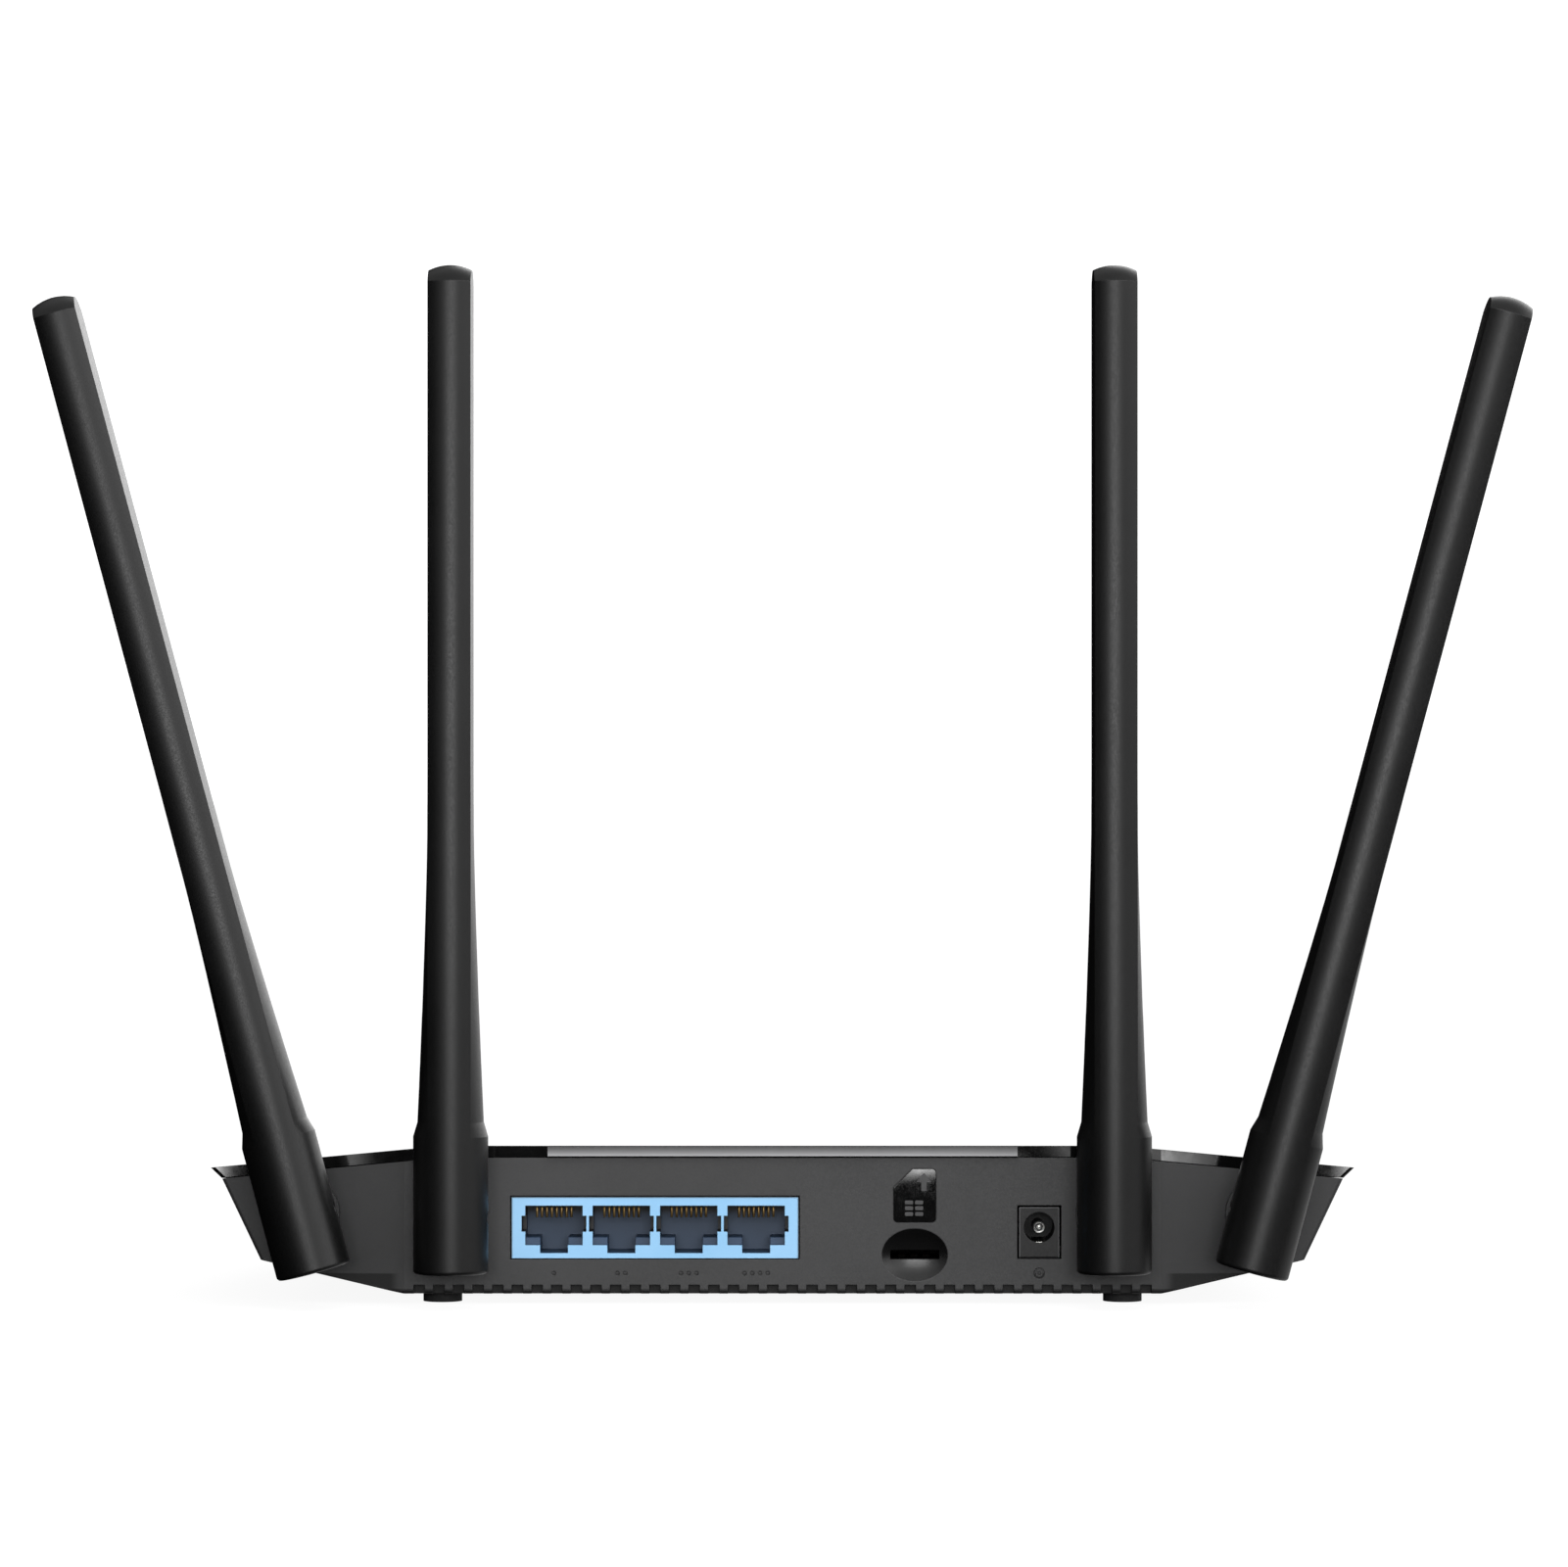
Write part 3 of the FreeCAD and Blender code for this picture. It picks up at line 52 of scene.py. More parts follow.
NODES = frame["nodes"]
SLOT_OF = {part["node"]: part["material_slot"] for part in frame["record"]["subparts"]}
MM = 0.001
PANEL_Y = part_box("bottom_housing")[0].y
SOCKET_LOW, SOCKET_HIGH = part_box("lan_socket_block")
MARKER_LOW, MARKER_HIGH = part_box("sim_marker")
PIN_LOW, PIN_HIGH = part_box("dc_jack_pin")
SLOT_LOW, SLOT_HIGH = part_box("sim_socket")
CONTACTS_LOW, CONTACTS_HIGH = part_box("lan_contacts")
PORTS = 4
PORT_HALF_WIDTH = 5.95 * MM
WIRES = 8
WIRE_WIDTH = 0.45 * MM
WIRE_PITCH = 1.02 * MM
WIRE_RADIUS = 0.25 * MM
WIRE_HANG = 0.45 * MM        # the wires end this far below the CAD contacts
PORT_PITCH = 13.97 * MM
FIRST_PORT_X = CONTACTS_LOW.x + (WIRE_WIDTH + (WIRES - 1) * WIRE_PITCH) / 2
JACK_LOW, JACK_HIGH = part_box("dc_jack_body")
INSERT_LOW, INSERT_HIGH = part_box("top_panel")

# ---- camera --------------------------------------------------------------------------------
CAMERA_DISTANCE = 1.250     # rear panel to the lens
CAMERA_HEIGHT = 0.1079
CAMERA_X = 0.0003
LENS_MM = 138.5
SENSOR_MM = 36.0

# ---- light ---------------------------------------------------------------------------------
BACKDROP = 1.25             # what the camera sees behind the object
FRONT_LIGHT = 2.05
SIDE_LIGHT = 3.40           # from the right
FAR_SIDE_LIGHT = 2.40
GLANCE_LIGHT = 3.2          # behind the object, right of straight away
DARK_SIDE = 0.004           # from the left
LOW_LIGHT = 0.25            # world below the horizon
FAR_LOW_LIGHT = 0.22        # the same, behind the object
CEILING_LIGHT = 0.50
FLOOR_REFLECTION = 0.05     # level of the floor in the light it gives the object

# Soft lights turned towards the rear panel: place, height aimed at, size, radiance.
SOFTBOXES = {
    "top_softbox": ((0.10, -0.40, 0.60), 0.03, (0.5, 0.3), 3.4),
    "front_softbox": ((0.02, -1.25, 0.16), 0.02, (0.5, 0.25), 10.6),
}

# Flat light panels just above the floor in front of the router, hidden from the camera.  They show
# as the light stretches in its glossy lid edge and card symbol:
# middle x and y, size in x and y, turn about the vertical in degrees, radiance.
FLOOR_PANELS = {
    "marker_panel": (0.031, -0.452, 0.060, 0.050, -58, 9.1),
    "left_wing_panel": (-0.1893, -0.460, 0.0112, 0.140, -13.5, 1.96),
    "left_fade_panel": (-0.1820, -0.460, 0.0030, 0.140, -13.5, 0.84),
    "left_tip_panel": (-0.2175, -0.410, 0.0155, 0.100, -14.5, 12.6),
    "left_tip_fade": (-0.2080, -0.410, 0.0029, 0.100, -14.5, 2.8),
    "right_flat_panel": (0.0943, -0.510, 0.0315, 0.120, 0, 1.54),
    "right_flat_fade": (0.0768, -0.510, 0.0030, 0.120, 0, 0.7),
    "right_wing_panel": (0.1668, -0.460, 0.0130, 0.140, 13.5, 5.46),
    "right_wing_fade": (0.1768, -0.460, 0.0065, 0.140, 13.5, 3.08),
    "right_wing_dim": (0.1830, -0.460, 0.0060, 0.140, 13.5, 1.54),
    "right_tip_panel": (0.2175, -0.410, 0.0155, 0.100, 14.5, 12.6),
    "right_tip_fade": (0.2080, -0.410, 0.0029, 0.100, 14.5, 2.8),
}
FLOOR_PANEL_Z = 0.004
FLOOR_RADIUS = 30.0
FLOOR_GREY = 0.15           # diffuse part of the floor, as the camera sees it
FLOOR_GLOW = 0.92           # its emission, as the camera sees it


def new_camera():
    data = bpy.data.cameras.new("photo_camera")
    data.sensor_width = SENSOR_MM
    data.lens = LENS_MM
    data.clip_start = 0.01
    data.clip_end = 100.0
    camera = bpy.data.objects.new("photo_camera", data)
    camera.location = (CAMERA_X, PANEL_Y - CAMERA_DISTANCE, CAMERA_HEIGHT)
    camera.rotation_euler = (math.pi / 2, 0, 0)
    bpy.context.scene.collection.objects.link(camera)
    bpy.context.scene.camera = camera


# ---- node helpers --------------------------------------------------------------------------
class Graph:
    """A shader tree with short calls for adding and joining nodes."""

    def __init__(self, tree):
        self.tree = tree
        self.nodes = tree.nodes
        self.nodes.clear()

    def add(self, kind, inputs=None, **settings):
        node = self.nodes.new(kind)
        for key, value in settings.items():
            setattr(node, key, value)
        for key, value in (inputs or {}).items():
            self.feed(node, key, value)
        return node

    def feed(self, node, key, value):
        socket = node.inputs[key]
        if isinstance(value, bpy.types.NodeSocket):
            self.tree.links.new(value, socket)
        else:
            socket.default_value = value

    def math(self, operation, a, b=0.0):
        return self.add("ShaderNodeMath", {0: a, 1: b}, operation=operation).outputs[0]

    def smooth(self, value, low, high, start=0.0, end=1.0):
        """value mapped from low..high to start..end with eased ends."""
        inputs = {"Value": value, "From Min": low, "From Max": high, "To Min": start, "To Max": end}
        node = self.add("ShaderNodeMapRange", inputs, interpolation_type="SMOOTHSTEP")
        return node.outputs["Result"]

    def blend(self, factor, a, b):
        """Number between a and b."""
        node = self.add("ShaderNodeMix", data_type="FLOAT")
        self.feed(node, 0, factor)
        self.feed(node, 2, a)
        self.feed(node, 3, b)
        return node.outputs[0]

    def tint(self, factor, a, b):
        """Colour between a and b."""
        node = self.add("ShaderNodeMix", data_type="RGBA")
        self.feed(node, 0, factor)
        self.feed(node, 6, a)
        self.feed(node, 7, b)
        return node.outputs[2]


def studio_world():
    """World whose level depends on direction: bright from the viewer's side and the right, dark
    from the left, dim from above.  The camera sees a plain white backdrop instead."""
    world = bpy.data.worlds.new("studio")
    bpy.context.scene.world = world
    world.use_nodes = True
    g = Graph(world.node_tree)
    direction = g.add("ShaderNodeTexCoord").outputs["Generated"]
    split = g.add("ShaderNodeSeparateXYZ", {0: direction})
    right, away, up = split.outputs
    near = g.smooth(right, -0.85, 0.0, DARK_SIDE, FRONT_LIGHT)
    near = g.math("MULTIPLY", near, g.smooth(right, 0.2, 0.9, 1.0, SIDE_LIGHT / FRONT_LIGHT))
    far = g.smooth(right, -0.02, 0.03, DARK_SIDE, GLANCE_LIGHT)
    far = g.math("MINIMUM", far, g.smooth(right, 0.2, 0.6, GLANCE_LIGHT, FAR_SIDE_LIGHT))
    near = g.math("MULTIPLY", near, g.smooth(up, -0.05, 0.25, LOW_LIGHT, 1.0))
    near = g.math("MULTIPLY", near, g.smooth(up, -0.02, 0.01, FLOOR_REFLECTION, 1.0))
    far = g.math("MULTIPLY", far, g.smooth(up, -0.10, 0.25, FAR_LOW_LIGHT, 1.0))
    level = g.blend(g.smooth(away, -0.2, 0.2), near, far)
    level = g.blend(g.smooth(up, 0.35, 0.85), level, CEILING_LIGHT)
    seen = g.add("ShaderNodeLightPath").outputs["Is Camera Ray"]
    strength = g.blend(seen, level, BACKDROP)
    back = g.add("ShaderNodeBackground", {"Color": (1, 1, 1, 1), "Strength": strength})
    out = g.add("ShaderNodeOutputWorld")
    g.feed(out, "Surface", back.outputs[0])


def new_light(name, place, rotation, size, radiance):
    data = bpy.data.lights.new(name, "AREA")
    data.shape = "RECTANGLE"
    data.size, data.size_y = size
    data.energy = radiance * math.pi * size[0] * size[1]
    light = bpy.data.objects.new(name, data)
    light.location = place
    light.rotation_euler = rotation
    light.visible_camera = False
    bpy.context.scene.collection.objects.link(light)


def aimed_light(name, place, target, size, radiance):
    turn = (Vector(target) - Vector(place)).to_track_quat("-Z", "Y").to_euler()
    new_light(name, place, turn, size, radiance)


def new_floor():
    """Wide pale sweep under the object: white to the camera, dark to diffuse rays, and not
    seen in reflections, which take the world below the horizon instead."""
    mesh = bpy.data.meshes.new("floor")
    bm = bmesh.new()
    bmesh.ops.create_circle(bm, cap_ends=True, radius=FLOOR_RADIUS, segments=96)
    bm.to_mesh(mesh)
    bm.free()
    floor = bpy.data.objects.new("floor", mesh)
    bpy.context.scene.collection.objects.link(floor)
    material = bpy.data.materials.new("pale_floor")
    material.use_nodes = True
    g = Graph(material.node_tree)
    pale = g.add("ShaderNodeBsdfDiffuse", {"Color": (FLOOR_GREY, FLOOR_GREY, FLOOR_GREY, 1)})
    glow = g.add("ShaderNodeEmission", {"Color": (1, 1, 1, 1), "Strength": FLOOR_GLOW})
    lit = g.add("ShaderNodeAddShader", {0: pale.outputs[0], 1: glow.outputs[0]})
    dim = g.add("ShaderNodeBsdfDiffuse", {"Color": (*[FLOOR_REFLECTION] * 3, 1)})
    seen = g.add("ShaderNodeLightPath").outputs["Is Camera Ray"]
    mix = g.add("ShaderNodeMixShader", {0: seen, 1: dim.outputs[0], 2: lit.outputs[0]})
    g.feed(g.add("ShaderNodeOutputMaterial"), "Surface", mix.outputs[0])
    mesh.materials.append(material)
    floor.visible_glossy = False


# ---- materials -----------------------------------------------------------------------------
def grained(
    name,
    dark,
    light,
    roughness,
    swing,
    grain,
    bump_mm,
    mottle=60.0,
    metallic=0.0,
    specular=0.5,
    edge_mm=0.0,
    regions=(),
):
    """Moulded or rolled surface: fine grain in the bump, slow mottling in colour and gloss.

    edge_mm rounds the edges in the shading.  Each region is (mask maker, dark, light, roughness):
    where its mask is 1 the surface takes that colour and roughness.  The regions here paint shade,
    a highlight or a reflection into the colour.
    """
    material = bpy.data.materials.new(name)
    material.use_nodes = True
    g = Graph(material.node_tree)
    place = g.add("ShaderNodeTexCoord").outputs["Object"]
    slow = g.add("ShaderNodeTexNoise", {"Vector": place, "Scale": mottle, "Detail": 3.0})
    fine = g.add("ShaderNodeTexNoise", {"Vector": place, "Scale": grain, "Detail": 2.0})
    shader = g.add("ShaderNodeBsdfPrincipled")
    factor = g.smooth(slow.outputs["Fac"], 0.3, 0.7)
    colour = g.tint(factor, (*dark, 1), (*light, 1))
    rough = g.smooth(fine.outputs["Fac"], 0.3, 0.7, roughness - swing, roughness + swing)
    for mask_maker, other_dark, other_light, other_roughness in regions:
        mask = mask_maker(g, place)
        other = g.tint(factor, (*other_dark, 1), (*other_light, 1))
        colour = g.tint(mask, colour, other)
        rough = g.blend(mask, rough, other_roughness)
    g.feed(shader, "Base Color", colour)
    g.feed(shader, "Roughness", rough)
    bump_inputs = {"Height": fine.outputs["Fac"], "Strength": 1.0, "Distance": bump_mm * MM}
    if edge_mm:
        edge = g.add("ShaderNodeBevel", {"Radius": edge_mm * MM}, samples=4)
        bump_inputs["Normal"] = edge.outputs["Normal"]
    bump = g.add("ShaderNodeBump", bump_inputs)
    g.feed(shader, "Normal", bump.outputs["Normal"])
    shader.inputs["Metallic"].default_value = metallic
    shader.inputs["Specular IOR Level"].default_value = specular
    g.feed(g.add("ShaderNodeOutputMaterial"), "Surface", shader.outputs[0])
    return material


def grey(level):
    return (level, level, level * 1.03)


def behind_face(face_y, start_mm, end_mm):
    """Mask that grows from 0 to 1 with depth behind a face that looks along -Y."""

    def mask(g, place):
        depth = g.add("ShaderNodeSeparateXYZ", {0: place}).outputs[1]
        return g.smooth(depth, face_y + start_mm * MM, face_y + end_mm * MM)

    return mask


def notch_painted_shade(g, place):
    """Mask of the painted shade in the notches along the panel's foot: their recessed lower part is
    coloured near-black.
    """
    _, y, z = g.add("ShaderNodeSeparateXYZ", {0: place}).outputs
    recessed = g.smooth(y, PANEL_Y + 0.05 * MM, PANEL_Y + 0.25 * MM)
    return g.math("MULTIPLY", g.smooth(z, NOTCH_SHADE_Z + 0.3 * MM, NOTCH_SHADE_Z), recessed)


def dish_painted_shade(g, place):
    """Mask of the oval finger dish round the card slot, where the colour is painted darker as shade
    and the surface is glossier.
    """
    x, y, z = g.add("ShaderNodeSeparateXYZ", {0: place}).outputs
    across = g.math("DIVIDE", g.math("SUBTRACT", x, DISH_X), DISH_HALF_WIDTH)
    rise = g.math("DIVIDE", g.math("SUBTRACT", z, DISH_Z), DISH_HALF_HEIGHT)
    spread = g.math("ADD", g.math("MULTIPLY", across, across), g.math("MULTIPLY", rise, rise))
    inside = g.smooth(spread, 1.06, 1.0)
    near = g.smooth(y, PANEL_Y + 3.0 * MM, PANEL_Y + 2.4 * MM)
    below_face = g.smooth(y, PANEL_Y + 0.02 * MM, PANEL_Y + 0.06 * MM)
    return g.math("MULTIPLY", g.math("MULTIPLY", inside, near), below_face)


def on_rim(low, high, width_mm):
    """Mask of a narrow border round a rectangular face in the XZ plane."""

    def mask(g, place):
        x, _, z = g.add("ShaderNodeSeparateXYZ", {0: place}).outputs
        edges = ((x, low.x, 1), (x, high.x, -1), (z, low.z, 1), (z, high.z, -1))
        rim = 0.0
        for value, edge, inward in edges:
            band = g.smooth(value, edge + inward * width_mm * MM, edge)
            rim = g.math("MAXIMUM", band, rim)
        return rim

    return mask


# Painted shade: behind the socket block's front face, inside the ports, its blue is darkened.
port_painted_shade = behind_face(SOCKET_LOW.y, 0.1, 0.45)


def in_port_shade(g, place):
    """Mask of the dark upper part and side notches inside the sockets."""
    x, y, z = g.add("ShaderNodeSeparateXYZ", {0: place}).outputs
    inside = g.smooth(y, SOCKET_LOW.y + 0.1 * MM, SOCKET_LOW.y + 0.45 * MM)
    roof = g.smooth(z, SOCKET_SHADE_Z - 1.0 * MM, SOCKET_SHADE_Z + 0.6 * MM)
    along = g.math("SUBTRACT", x, FIRST_PORT_X - PORT_PITCH / 2)
    along = g.math("SUBTRACT", g.math("MODULO", along, PORT_PITCH), PORT_PITCH / 2)
    along = g.math("ABSOLUTE", along)
    side = g.smooth(along, PORT_HALF_WIDTH - 0.1 * MM, PORT_HALF_WIDTH + 0.1 * MM)
    return g.math("MULTIPLY", inside, g.math("MAXIMUM", roof, side))


SOCKET_SHADE_Z = 18.4 * MM   # the sockets are dark inside from about this height up
NOTCH_SHADE_Z = 6.2 * MM     # top of the dark shade in the notches
DISH_X = (SLOT_LOW.x + SLOT_HIGH.x) / 2
DISH_Z = 10.2 * MM
DISH_HALF_WIDTH = 6.95 * MM
DISH_HALF_HEIGHT = 5.5 * MM

MATERIALS = {
    "matte_black_abs": grained(
        "matte_black_abs", grey(0.029), grey(0.034), 0.48, 0.06, 2600.0, 0.005, edge_mm=0.25,
        specular=0.36,
        regions=[
            # Painted shade: the recessed notches along the foot are coloured near-black.
            (notch_painted_shade, grey(0.004), grey(0.006), 0.62),
            # Painted shade: the finger dish is coloured darker than the panel; it is also glossier.
            (dish_painted_shade, grey(0.003), grey(0.004), 0.22),
        ],
    ),
    "gloss_black_abs": grained(
        "gloss_black_abs", grey(0.0022), grey(0.0032), 0.05, 0.01, 700.0, 0.0002, specular=0.72,
        edge_mm=0.12,
    ),
    "antenna_black_abs": grained(
        "antenna_black_abs", grey(0.003), grey(0.0045), 0.38, 0.05, 3200.0, 0.003, specular=0.32,
        edge_mm=0.3,
    ),
    "black_rubber": grained(
        "black_rubber", grey(0.016), grey(0.024), 0.78, 0.08, 1500.0, 0.01, specular=0.3
    ),
    "zinc_steel": grained(
        "zinc_steel", (0.50, 0.51, 0.53), (0.66, 0.66, 0.68), 0.32, 0.08, 900.0, 0.002, metallic=1.0
    ),
    "clear_plastic": grained(
        "clear_plastic", (0.62, 0.64, 0.66), (0.74, 0.75, 0.77), 0.16, 0.03, 500.0, 0.001
    ),
    "light_blue_plastic": grained(
        "light_blue_plastic", (0.26, 0.55, 0.85), (0.30, 0.59, 0.89), 0.40, 0.04, 2200.0, 0.002,
        specular=0.5, edge_mm=0.06,
        regions=[
            # Painted shade inside the ports.
            (port_painted_shade, (0.016, 0.044, 0.096), (0.021, 0.054, 0.114), 0.5),
            # Painted shade: a near-black border round the socket block's face stands in for the
            # shadow in the gap to the panel.
            (on_rim(SOCKET_LOW, SOCKET_HIGH, 0.40), grey(0.004), grey(0.006), 0.5),
            (in_port_shade, (0.010, 0.010, 0.012), (0.014, 0.014, 0.017), 0.5),
        ],
    ),
    "gold": grained(
        "gold", (0.74, 0.48, 0.18), (0.90, 0.64, 0.30), 0.25, 0.06, 1200.0, 0.001, metallic=1.0
    ),
    "nickel": grained(
        "nickel", (0.62, 0.61, 0.58), (0.78, 0.77, 0.74), 0.18, 0.05, 900.0, 0.001, metallic=1.0
    ),
    "tin_sheet": grained(
        "tin_sheet", (0.58, 0.58, 0.60), (0.72, 0.72, 0.74), 0.36, 0.1, 400.0, 0.002, metallic=1.0
    ),
    "green_board": grained(
        "green_board", (0.012, 0.085, 0.045), (0.03, 0.15, 0.08), 0.34, 0.06, 1300.0, 0.006
    ),
    "chip_epoxy": grained(
        "chip_epoxy", grey(0.018), grey(0.03), 0.6, 0.08, 1800.0, 0.004, specular=0.4
    ),
    "silicone_pad": grained(
        "silicone_pad", (0.36, 0.52, 0.62), (0.45, 0.62, 0.72), 0.7, 0.06, 900.0, 0.01
    ),
    "black_aluminium": grained(
        "black_aluminium", grey(0.05), grey(0.08), 0.38, 0.06, 1600.0, 0.003, metallic=0.8
    ),
    "led_white": grained(
        "led_white", (0.74, 0.74, 0.68), (0.84, 0.83, 0.76), 0.3, 0.05, 800.0, 0.002
    ),
    "lead_jacket": grained(
        "lead_jacket", grey(0.014), grey(0.022), 0.5, 0.08, 1400.0, 0.004, specular=0.4
    ),
}

# Finishes of single nodes that differ from the rest of their slot, some with painted light
# and shade: the power inlet's light rim and dark inside, the near-black card socket and springs.
NODE_FINISH_AND_PAINTED_LIGHT = {
    "dc_jack_body": grained(
        "jack_nylon", grey(0.011), grey(0.014), 0.40, 0.05, 1800.0, 0.004, edge_mm=0.2,
        specular=0.22,
        regions=[
            # Painted highlight: a light grey band round the rim of the inlet's face.
            (on_rim(JACK_LOW, JACK_HIGH, 0.3), grey(0.11), grey(0.13), 0.3),
            # Painted shade: the inlet turns near-black behind its face.
            (behind_face(JACK_LOW.y, 0.1, 0.5), grey(0.002), grey(0.003), 0.5),
        ],
    ),
    "sim_marker": grained(
        "marker_gloss", grey(0.0022), grey(0.0032), 0.045, 0.01, 700.0, 0.0001, specular=0.72,
        edge_mm=0.1,
    ),
    # Painted shade: the card socket is coloured near-black and nearly matt, so its metal front
    # reads as the dark slot; its body is black plastic in part.
    "sim_socket": grained(
        "slot_shell_painted_shade", grey(0.0012), grey(0.0018), 0.6, 0.06, 900.0, 0.002, specular=0.04
    ),
    # Painted shade: the card socket's gold springs are coloured near-black and matt, as the dark
    # slot hides them.
    "sim_contacts": grained(
        "slot_springs_painted_shade", (0.0015, 0.001, 0.0008), (0.002, 0.0014, 0.001), 0.6, 0.06, 900.0, 0.002,
        specular=0.02,
    ),
}


def dress(node_object, material):
    """Give every slot of an object this material, on the object and not on its mesh."""
    if not node_object.material_slots:
        node_object.data.materials.append(None)
    for slot in node_object.material_slots:
        slot.link = "OBJECT"
        slot.material = material


# ---- added pieces --------------------------------------------------------------------------
def new_piece(name, bm, material, body):
    """Object from a bmesh, with its material and its body."""
    bmesh.ops.recalc_face_normals(bm, faces=bm.faces[:])
    mesh = bpy.data.meshes.new(name)
    bm.to_mesh(mesh)
    bm.free()
    piece = bpy.data.objects.new(name, mesh)
    bpy.context.scene.collection.objects.link(piece)
    mesh.materials.append(material)
    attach(piece, body)
    return piece


def add_plate(bm, outline, front_y, back_y):
    """Closed plate in the XZ plane from a flat outline of (x, z) corners."""
    front = [bm.verts.new((x, front_y, z)) for x, z in outline]
    back = [bm.verts.new((x, back_y, z)) for x, z in outline]
    bm.faces.new(front)
    bm.faces.new(back[::-1])
    count = len(outline)
    for i in range(count):
        j = (i + 1) % count
        bm.faces.new((front[i], front[j], back[j], back[i]))


def rounded_outline(low, high, radius, steps=5):
    """Corners of a rounded rectangle, anticlockwise, between two (x, z) corners."""
    points = []
    centres = (
        (high[0] - radius, high[1] - radius, 0),
        (low[0] + radius, high[1] - radius, 1),
        (low[0] + radius, low[1] + radius, 2),
        (high[0] - radius, low[1] + radius, 3),
    )
    for x, z, quarter in centres:
        for step in range(steps + 1):
            angle = (quarter + step / steps) * math.pi / 2
            points.append((x + radius * math.cos(angle), z + radius * math.sin(angle)))
    return points


def turned(bm, axis_x, axis_z, profile, segments=40):
    """Surface turned about a line along Y from (radius, y) points; radius 0 closes an end."""
    rings = []
    for radius, y in profile:
        if radius == 0:
            rings.append([bm.verts.new((axis_x, y, axis_z))])
            continue
        ring = []
        for k in range(segments):
            angle = 2 * math.pi * k / segments
            x = axis_x + radius * math.cos(angle)
            z = axis_z + radius * math.sin(angle)
            ring.append(bm.verts.new((x, y, z)))
        rings.append(ring)
    for first, second in zip(rings, rings[1:]):
        for k in range(segments):
            m = (k + 1) % segments
            if len(first) == 1:
                bm.faces.new((first[0], second[k], second[m]))
            elif len(second) == 1:
                bm.faces.new((first[k], first[m], second[0]))
            else:
                bm.faces.new((first[k], first[m], second[m], second[k]))


def smooth_shade(piece, degrees=40):
    """Smooth faces, with edges sharper than the angle kept crisp."""
    mesh = piece.data
    mesh.polygons.foreach_set("use_smooth", [True] * len(mesh.polygons))
    mesh.set_sharp_from_angle(angle=math.radians(degrees))


def jack_pin():
    """Centre pin of the power inlet: turned rim, groove and a domed middle."""
    centre_x = (PIN_LOW.x + PIN_HIGH.x) / 2
    centre_z = (PIN_LOW.z + PIN_HIGH.z) / 2
    outer = (PIN_HIGH.x - PIN_LOW.x) / 2
    front, back = PIN_LOW.y, PIN_HIGH.y
    profile = [(0, front + 0.10 * MM)]
    dome = ((0.14, 0.12), (0.26, 0.20), (0.36, 0.36), (0.42, 0.60))
    groove = ((0.44, 1.20), (0.66, 1.20), (0.68, 0.30), (0.72, 0.14), (0.80, 0.02))
    rim = ((0.88, 0.0), (0.95, 0.10), (0.99, 0.28), (1.0, 0.5))
    for share, depth in dome + groove + rim:
        profile.append((outer * share, front + depth * MM))
    profile += [(outer, back), (0, back)]
    bm = bmesh.new()
    turned(bm, centre_x, centre_z, profile)
    material = grained(
        "turned_nickel", (0.66, 0.66, 0.64), (0.78, 0.78, 0.76), 0.34, 0.05, 1400.0, 0.001,
        metallic=1.0,
        # Painted shade: from 0.3 to 1 mm behind the pin's front its colour turns dark grey, in the
        # groove and down the barrel.
        regions=[(behind_face(front, 0.3, 1.0), grey(0.03), grey(0.04), 0.4)],
    )
    piece = new_piece("jack_pin_turned", bm, material, "housing")
    smooth_shade(piece)
    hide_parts("dc_jack_pin")


def nose_painted_reflection():
    """Strip along the rear nose of the lid's insert with a painted reflection: light grey at its
    bottom, fading to black at its top.
    """
    left, right = INSERT_LOW.x, INSERT_HIGH.x
    front, back = INSERT_LOW.y - 0.03 * MM, PANEL_Y - 0.04 * MM
    low, top = INSERT_HIGH.z - 2.15 * MM, INSERT_HIGH.z - 0.06 * MM
    profile = (
        (front + 0.10 * MM, low), (front + 0.03 * MM, low + 0.03 * MM), (front, low + 0.10 * MM),
        (front, top - 0.15 * MM), (front + 0.04 * MM, top - 0.05 * MM), (front + 0.15 * MM, top),
        (front + 0.30 * MM, top), (back, top - 0.35 * MM), (back, low),
    )
    bm = bmesh.new()
    ends = [[bm.verts.new((x, y, z)) for y, z in profile] for x in (left, right)]
    bm.faces.new(ends[0])
    bm.faces.new(ends[1][::-1])
    for i in range(len(profile)):
        j = (i + 1) % len(profile)
        bm.faces.new((ends[0][i], ends[0][j], ends[1][j], ends[1][i]))

    def fading(g, place):
        height = g.add("ShaderNodeSeparateXYZ", {0: place}).outputs[2]
        inputs = {"Value": height, "From Min": low, "From Max": top, "To Min": 1.0, "To Max": 0.0}
        ramp = g.add("ShaderNodeMapRange", inputs).outputs["Result"]
        return g.math("POWER", ramp, 1.7)

    material = grained(
        "painted_reflection_fade", grey(0.014), grey(0.018), 0.34, 0.04, 1600.0, 0.001,
        # Painted reflection: light grey low on the nose, fading to black towards its top.
        regions=[(fading, grey(0.37), grey(0.40), 0.38)],
    )
    new_piece("nose_painted_reflection", bm, material, "housing")


PAD_WIDTH = 1.7 * MM
PAD_HEIGHT = 0.8 * MM
PAD_CORNER = 0.25 * MM
PAD_COLUMN_STEP = 2.1 * MM
PAD_ROW_STEP = 1.2 * MM


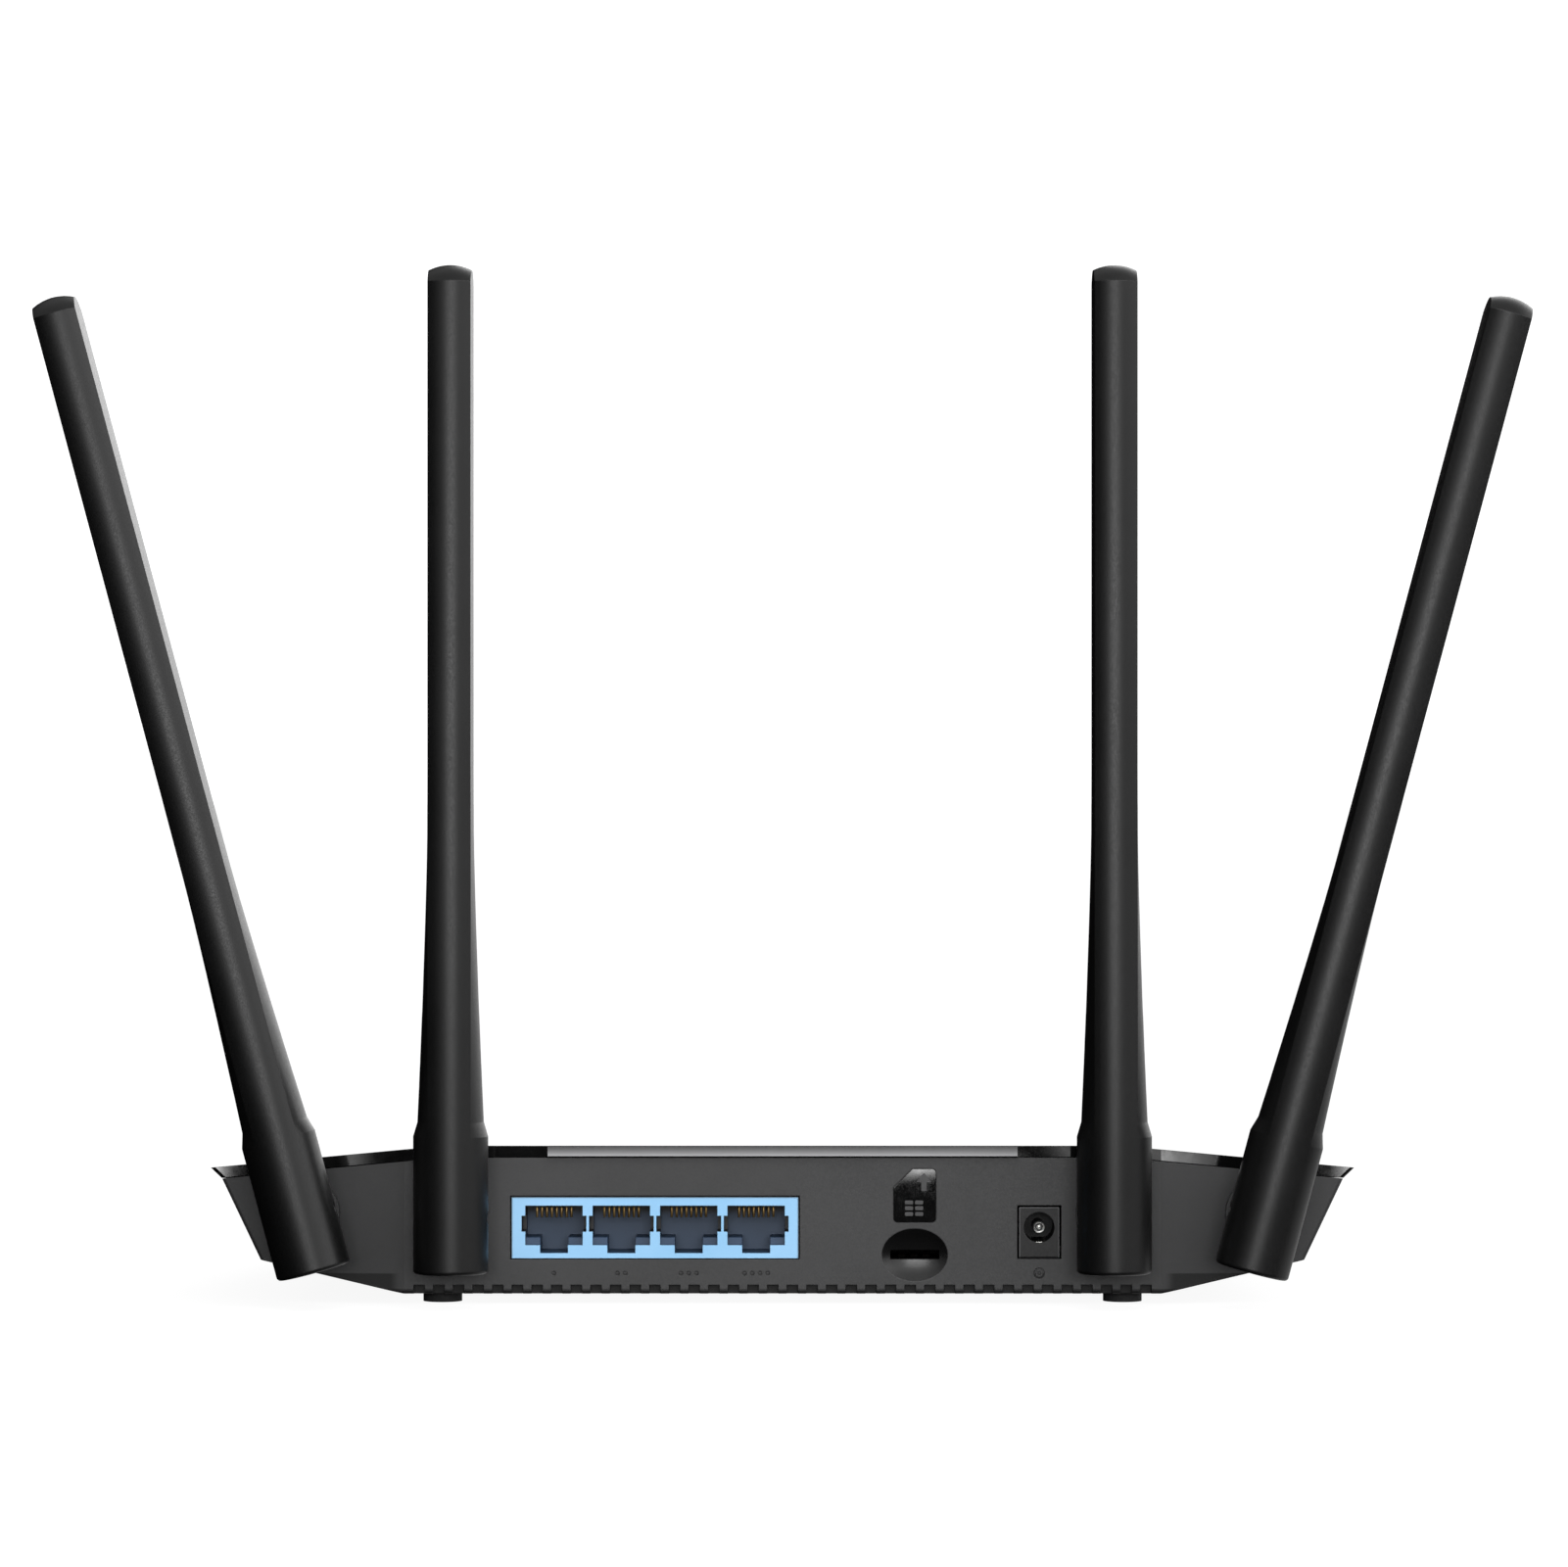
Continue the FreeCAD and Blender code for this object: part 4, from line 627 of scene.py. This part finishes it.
def marker_signs():
    """Arrow and chip-pad sign on the card marker, in dull grey."""
    bm = bmesh.new()
    face = MARKER_LOW.y
    front, back = face - 0.03 * MM, face + 0.05 * MM
    left, top = MARKER_LOW.x, MARKER_HIGH.z
    width, height = MARKER_HIGH.x - left, top - MARKER_LOW.z
    tip = (left + 0.72 * width, top - 0.08 * height)
    arrow = (
        (0.0, 0.0), (-1.52, -1.72), (-0.57, -1.72), (-0.57, -3.62),
        (0.57, -3.62), (0.57, -1.72), (1.52, -1.72),
    )
    add_plate(bm, [(tip[0] + x * MM, tip[1] + z * MM) for x, z in arrow], front, back)
    chip_left, chip_low = left + 2.3 * MM, MARKER_LOW.z + 1.3 * MM
    for column in range(2):
        for row in range(3):
            x = chip_left + column * PAD_COLUMN_STEP
            z = chip_low + row * PAD_ROW_STEP
            corners = (x, z), (x + PAD_WIDTH, z + PAD_HEIGHT)
            add_plate(bm, rounded_outline(*corners, PAD_CORNER), front, back)
    material = grained("marker_grey", grey(0.038), grey(0.048), 0.55, 0.05, 1800.0, 0.003)
    new_piece("marker_signs", bm, material, "housing")


def socket_wires():
    """The 32 sprung contact wires: along each port's roof, round a bend and down its front."""
    bm = bmesh.new()
    roof = CONTACTS_HIGH.z - WIRE_RADIUS - 0.01 * MM
    foot = CONTACTS_LOW.z - WIRE_HANG
    bend_y = CONTACTS_LOW.y + 0.35 * MM
    path = [(CONTACTS_HIGH.y - 0.1 * MM, roof), (bend_y + 1.5 * MM, roof)]
    for step in range(5):
        angle = step * math.pi / 8
        path.append((
            bend_y + 0.5 * MM * (1 - math.sin(angle)),
            roof - 0.5 * MM * (1 - math.cos(angle)),
        ))
    path += [(bend_y + 0.05 * MM, foot + 0.45 * MM), (bend_y + 0.25 * MM, foot)]
    first_x = CONTACTS_LOW.x + WIRE_WIDTH / 2
    for port in range(PORTS):
        for wire in range(WIRES):
            wire_x = first_x + port * PORT_PITCH + wire * WIRE_PITCH
            swept_wire(bm, wire_x, path, WIRE_RADIUS)
    material = grained(
        "wire_gold", (0.26, 0.165, 0.06), (0.33, 0.215, 0.085), 0.42, 0.05, 1200.0, 0.001,
        metallic=1.0,
    )
    piece = new_piece("socket_wires", bm, material, "housing")
    smooth_shade(piece, 60)
    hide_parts("lan_contacts")


def swept_wire(bm, x, path, radius, sides=8):
    """Round wire along (y, z) points in the plane at x, closed at both ends."""
    rings = []
    for i, (y, z) in enumerate(path):
        before, after = path[max(i - 1, 0)], path[min(i + 1, len(path) - 1)]
        along = Vector((0, after[0] - before[0], after[1] - before[1])).normalized()
        normal = along.cross(Vector((1, 0, 0)))
        ring = []
        for k in range(sides):
            angle = 2 * math.pi * k / sides
            offset = Vector((math.cos(angle), 0, 0)) + math.sin(angle) * normal
            ring.append(bm.verts.new(Vector((x, y, z)) + radius * offset))
        rings.append(ring)
    for first, second in zip(rings, rings[1:]):
        for k in range(sides):
            m = (k + 1) % sides
            bm.faces.new((first[k], first[m], second[m], second[k]))
    bm.faces.new(rings[0][::-1])
    bm.faces.new(rings[-1])


new_camera()
studio_world()
new_floor()
for name, (place, aim_height, size, radiance) in SOFTBOXES.items():
    aimed_light(name, place, (0, PANEL_Y, aim_height), size, radiance)
for name, (x, y, width, depth, turn, radiance) in FLOOR_PANELS.items():
    rotation = (math.pi, 0, math.radians(turn))
    new_light(name, (x, y, FLOOR_PANEL_Z), rotation, (width, depth), radiance)
for name, node_object in NODES.items():
    dress(node_object, NODE_FINISH_AND_PAINTED_LIGHT.get(name, MATERIALS[SLOT_OF[name]]))
jack_pin()
nose_painted_reflection()
marker_signs()
socket_wires()

bpy.context.scene.view_settings.view_transform = "Standard"
bpy.context.view_layer.update()
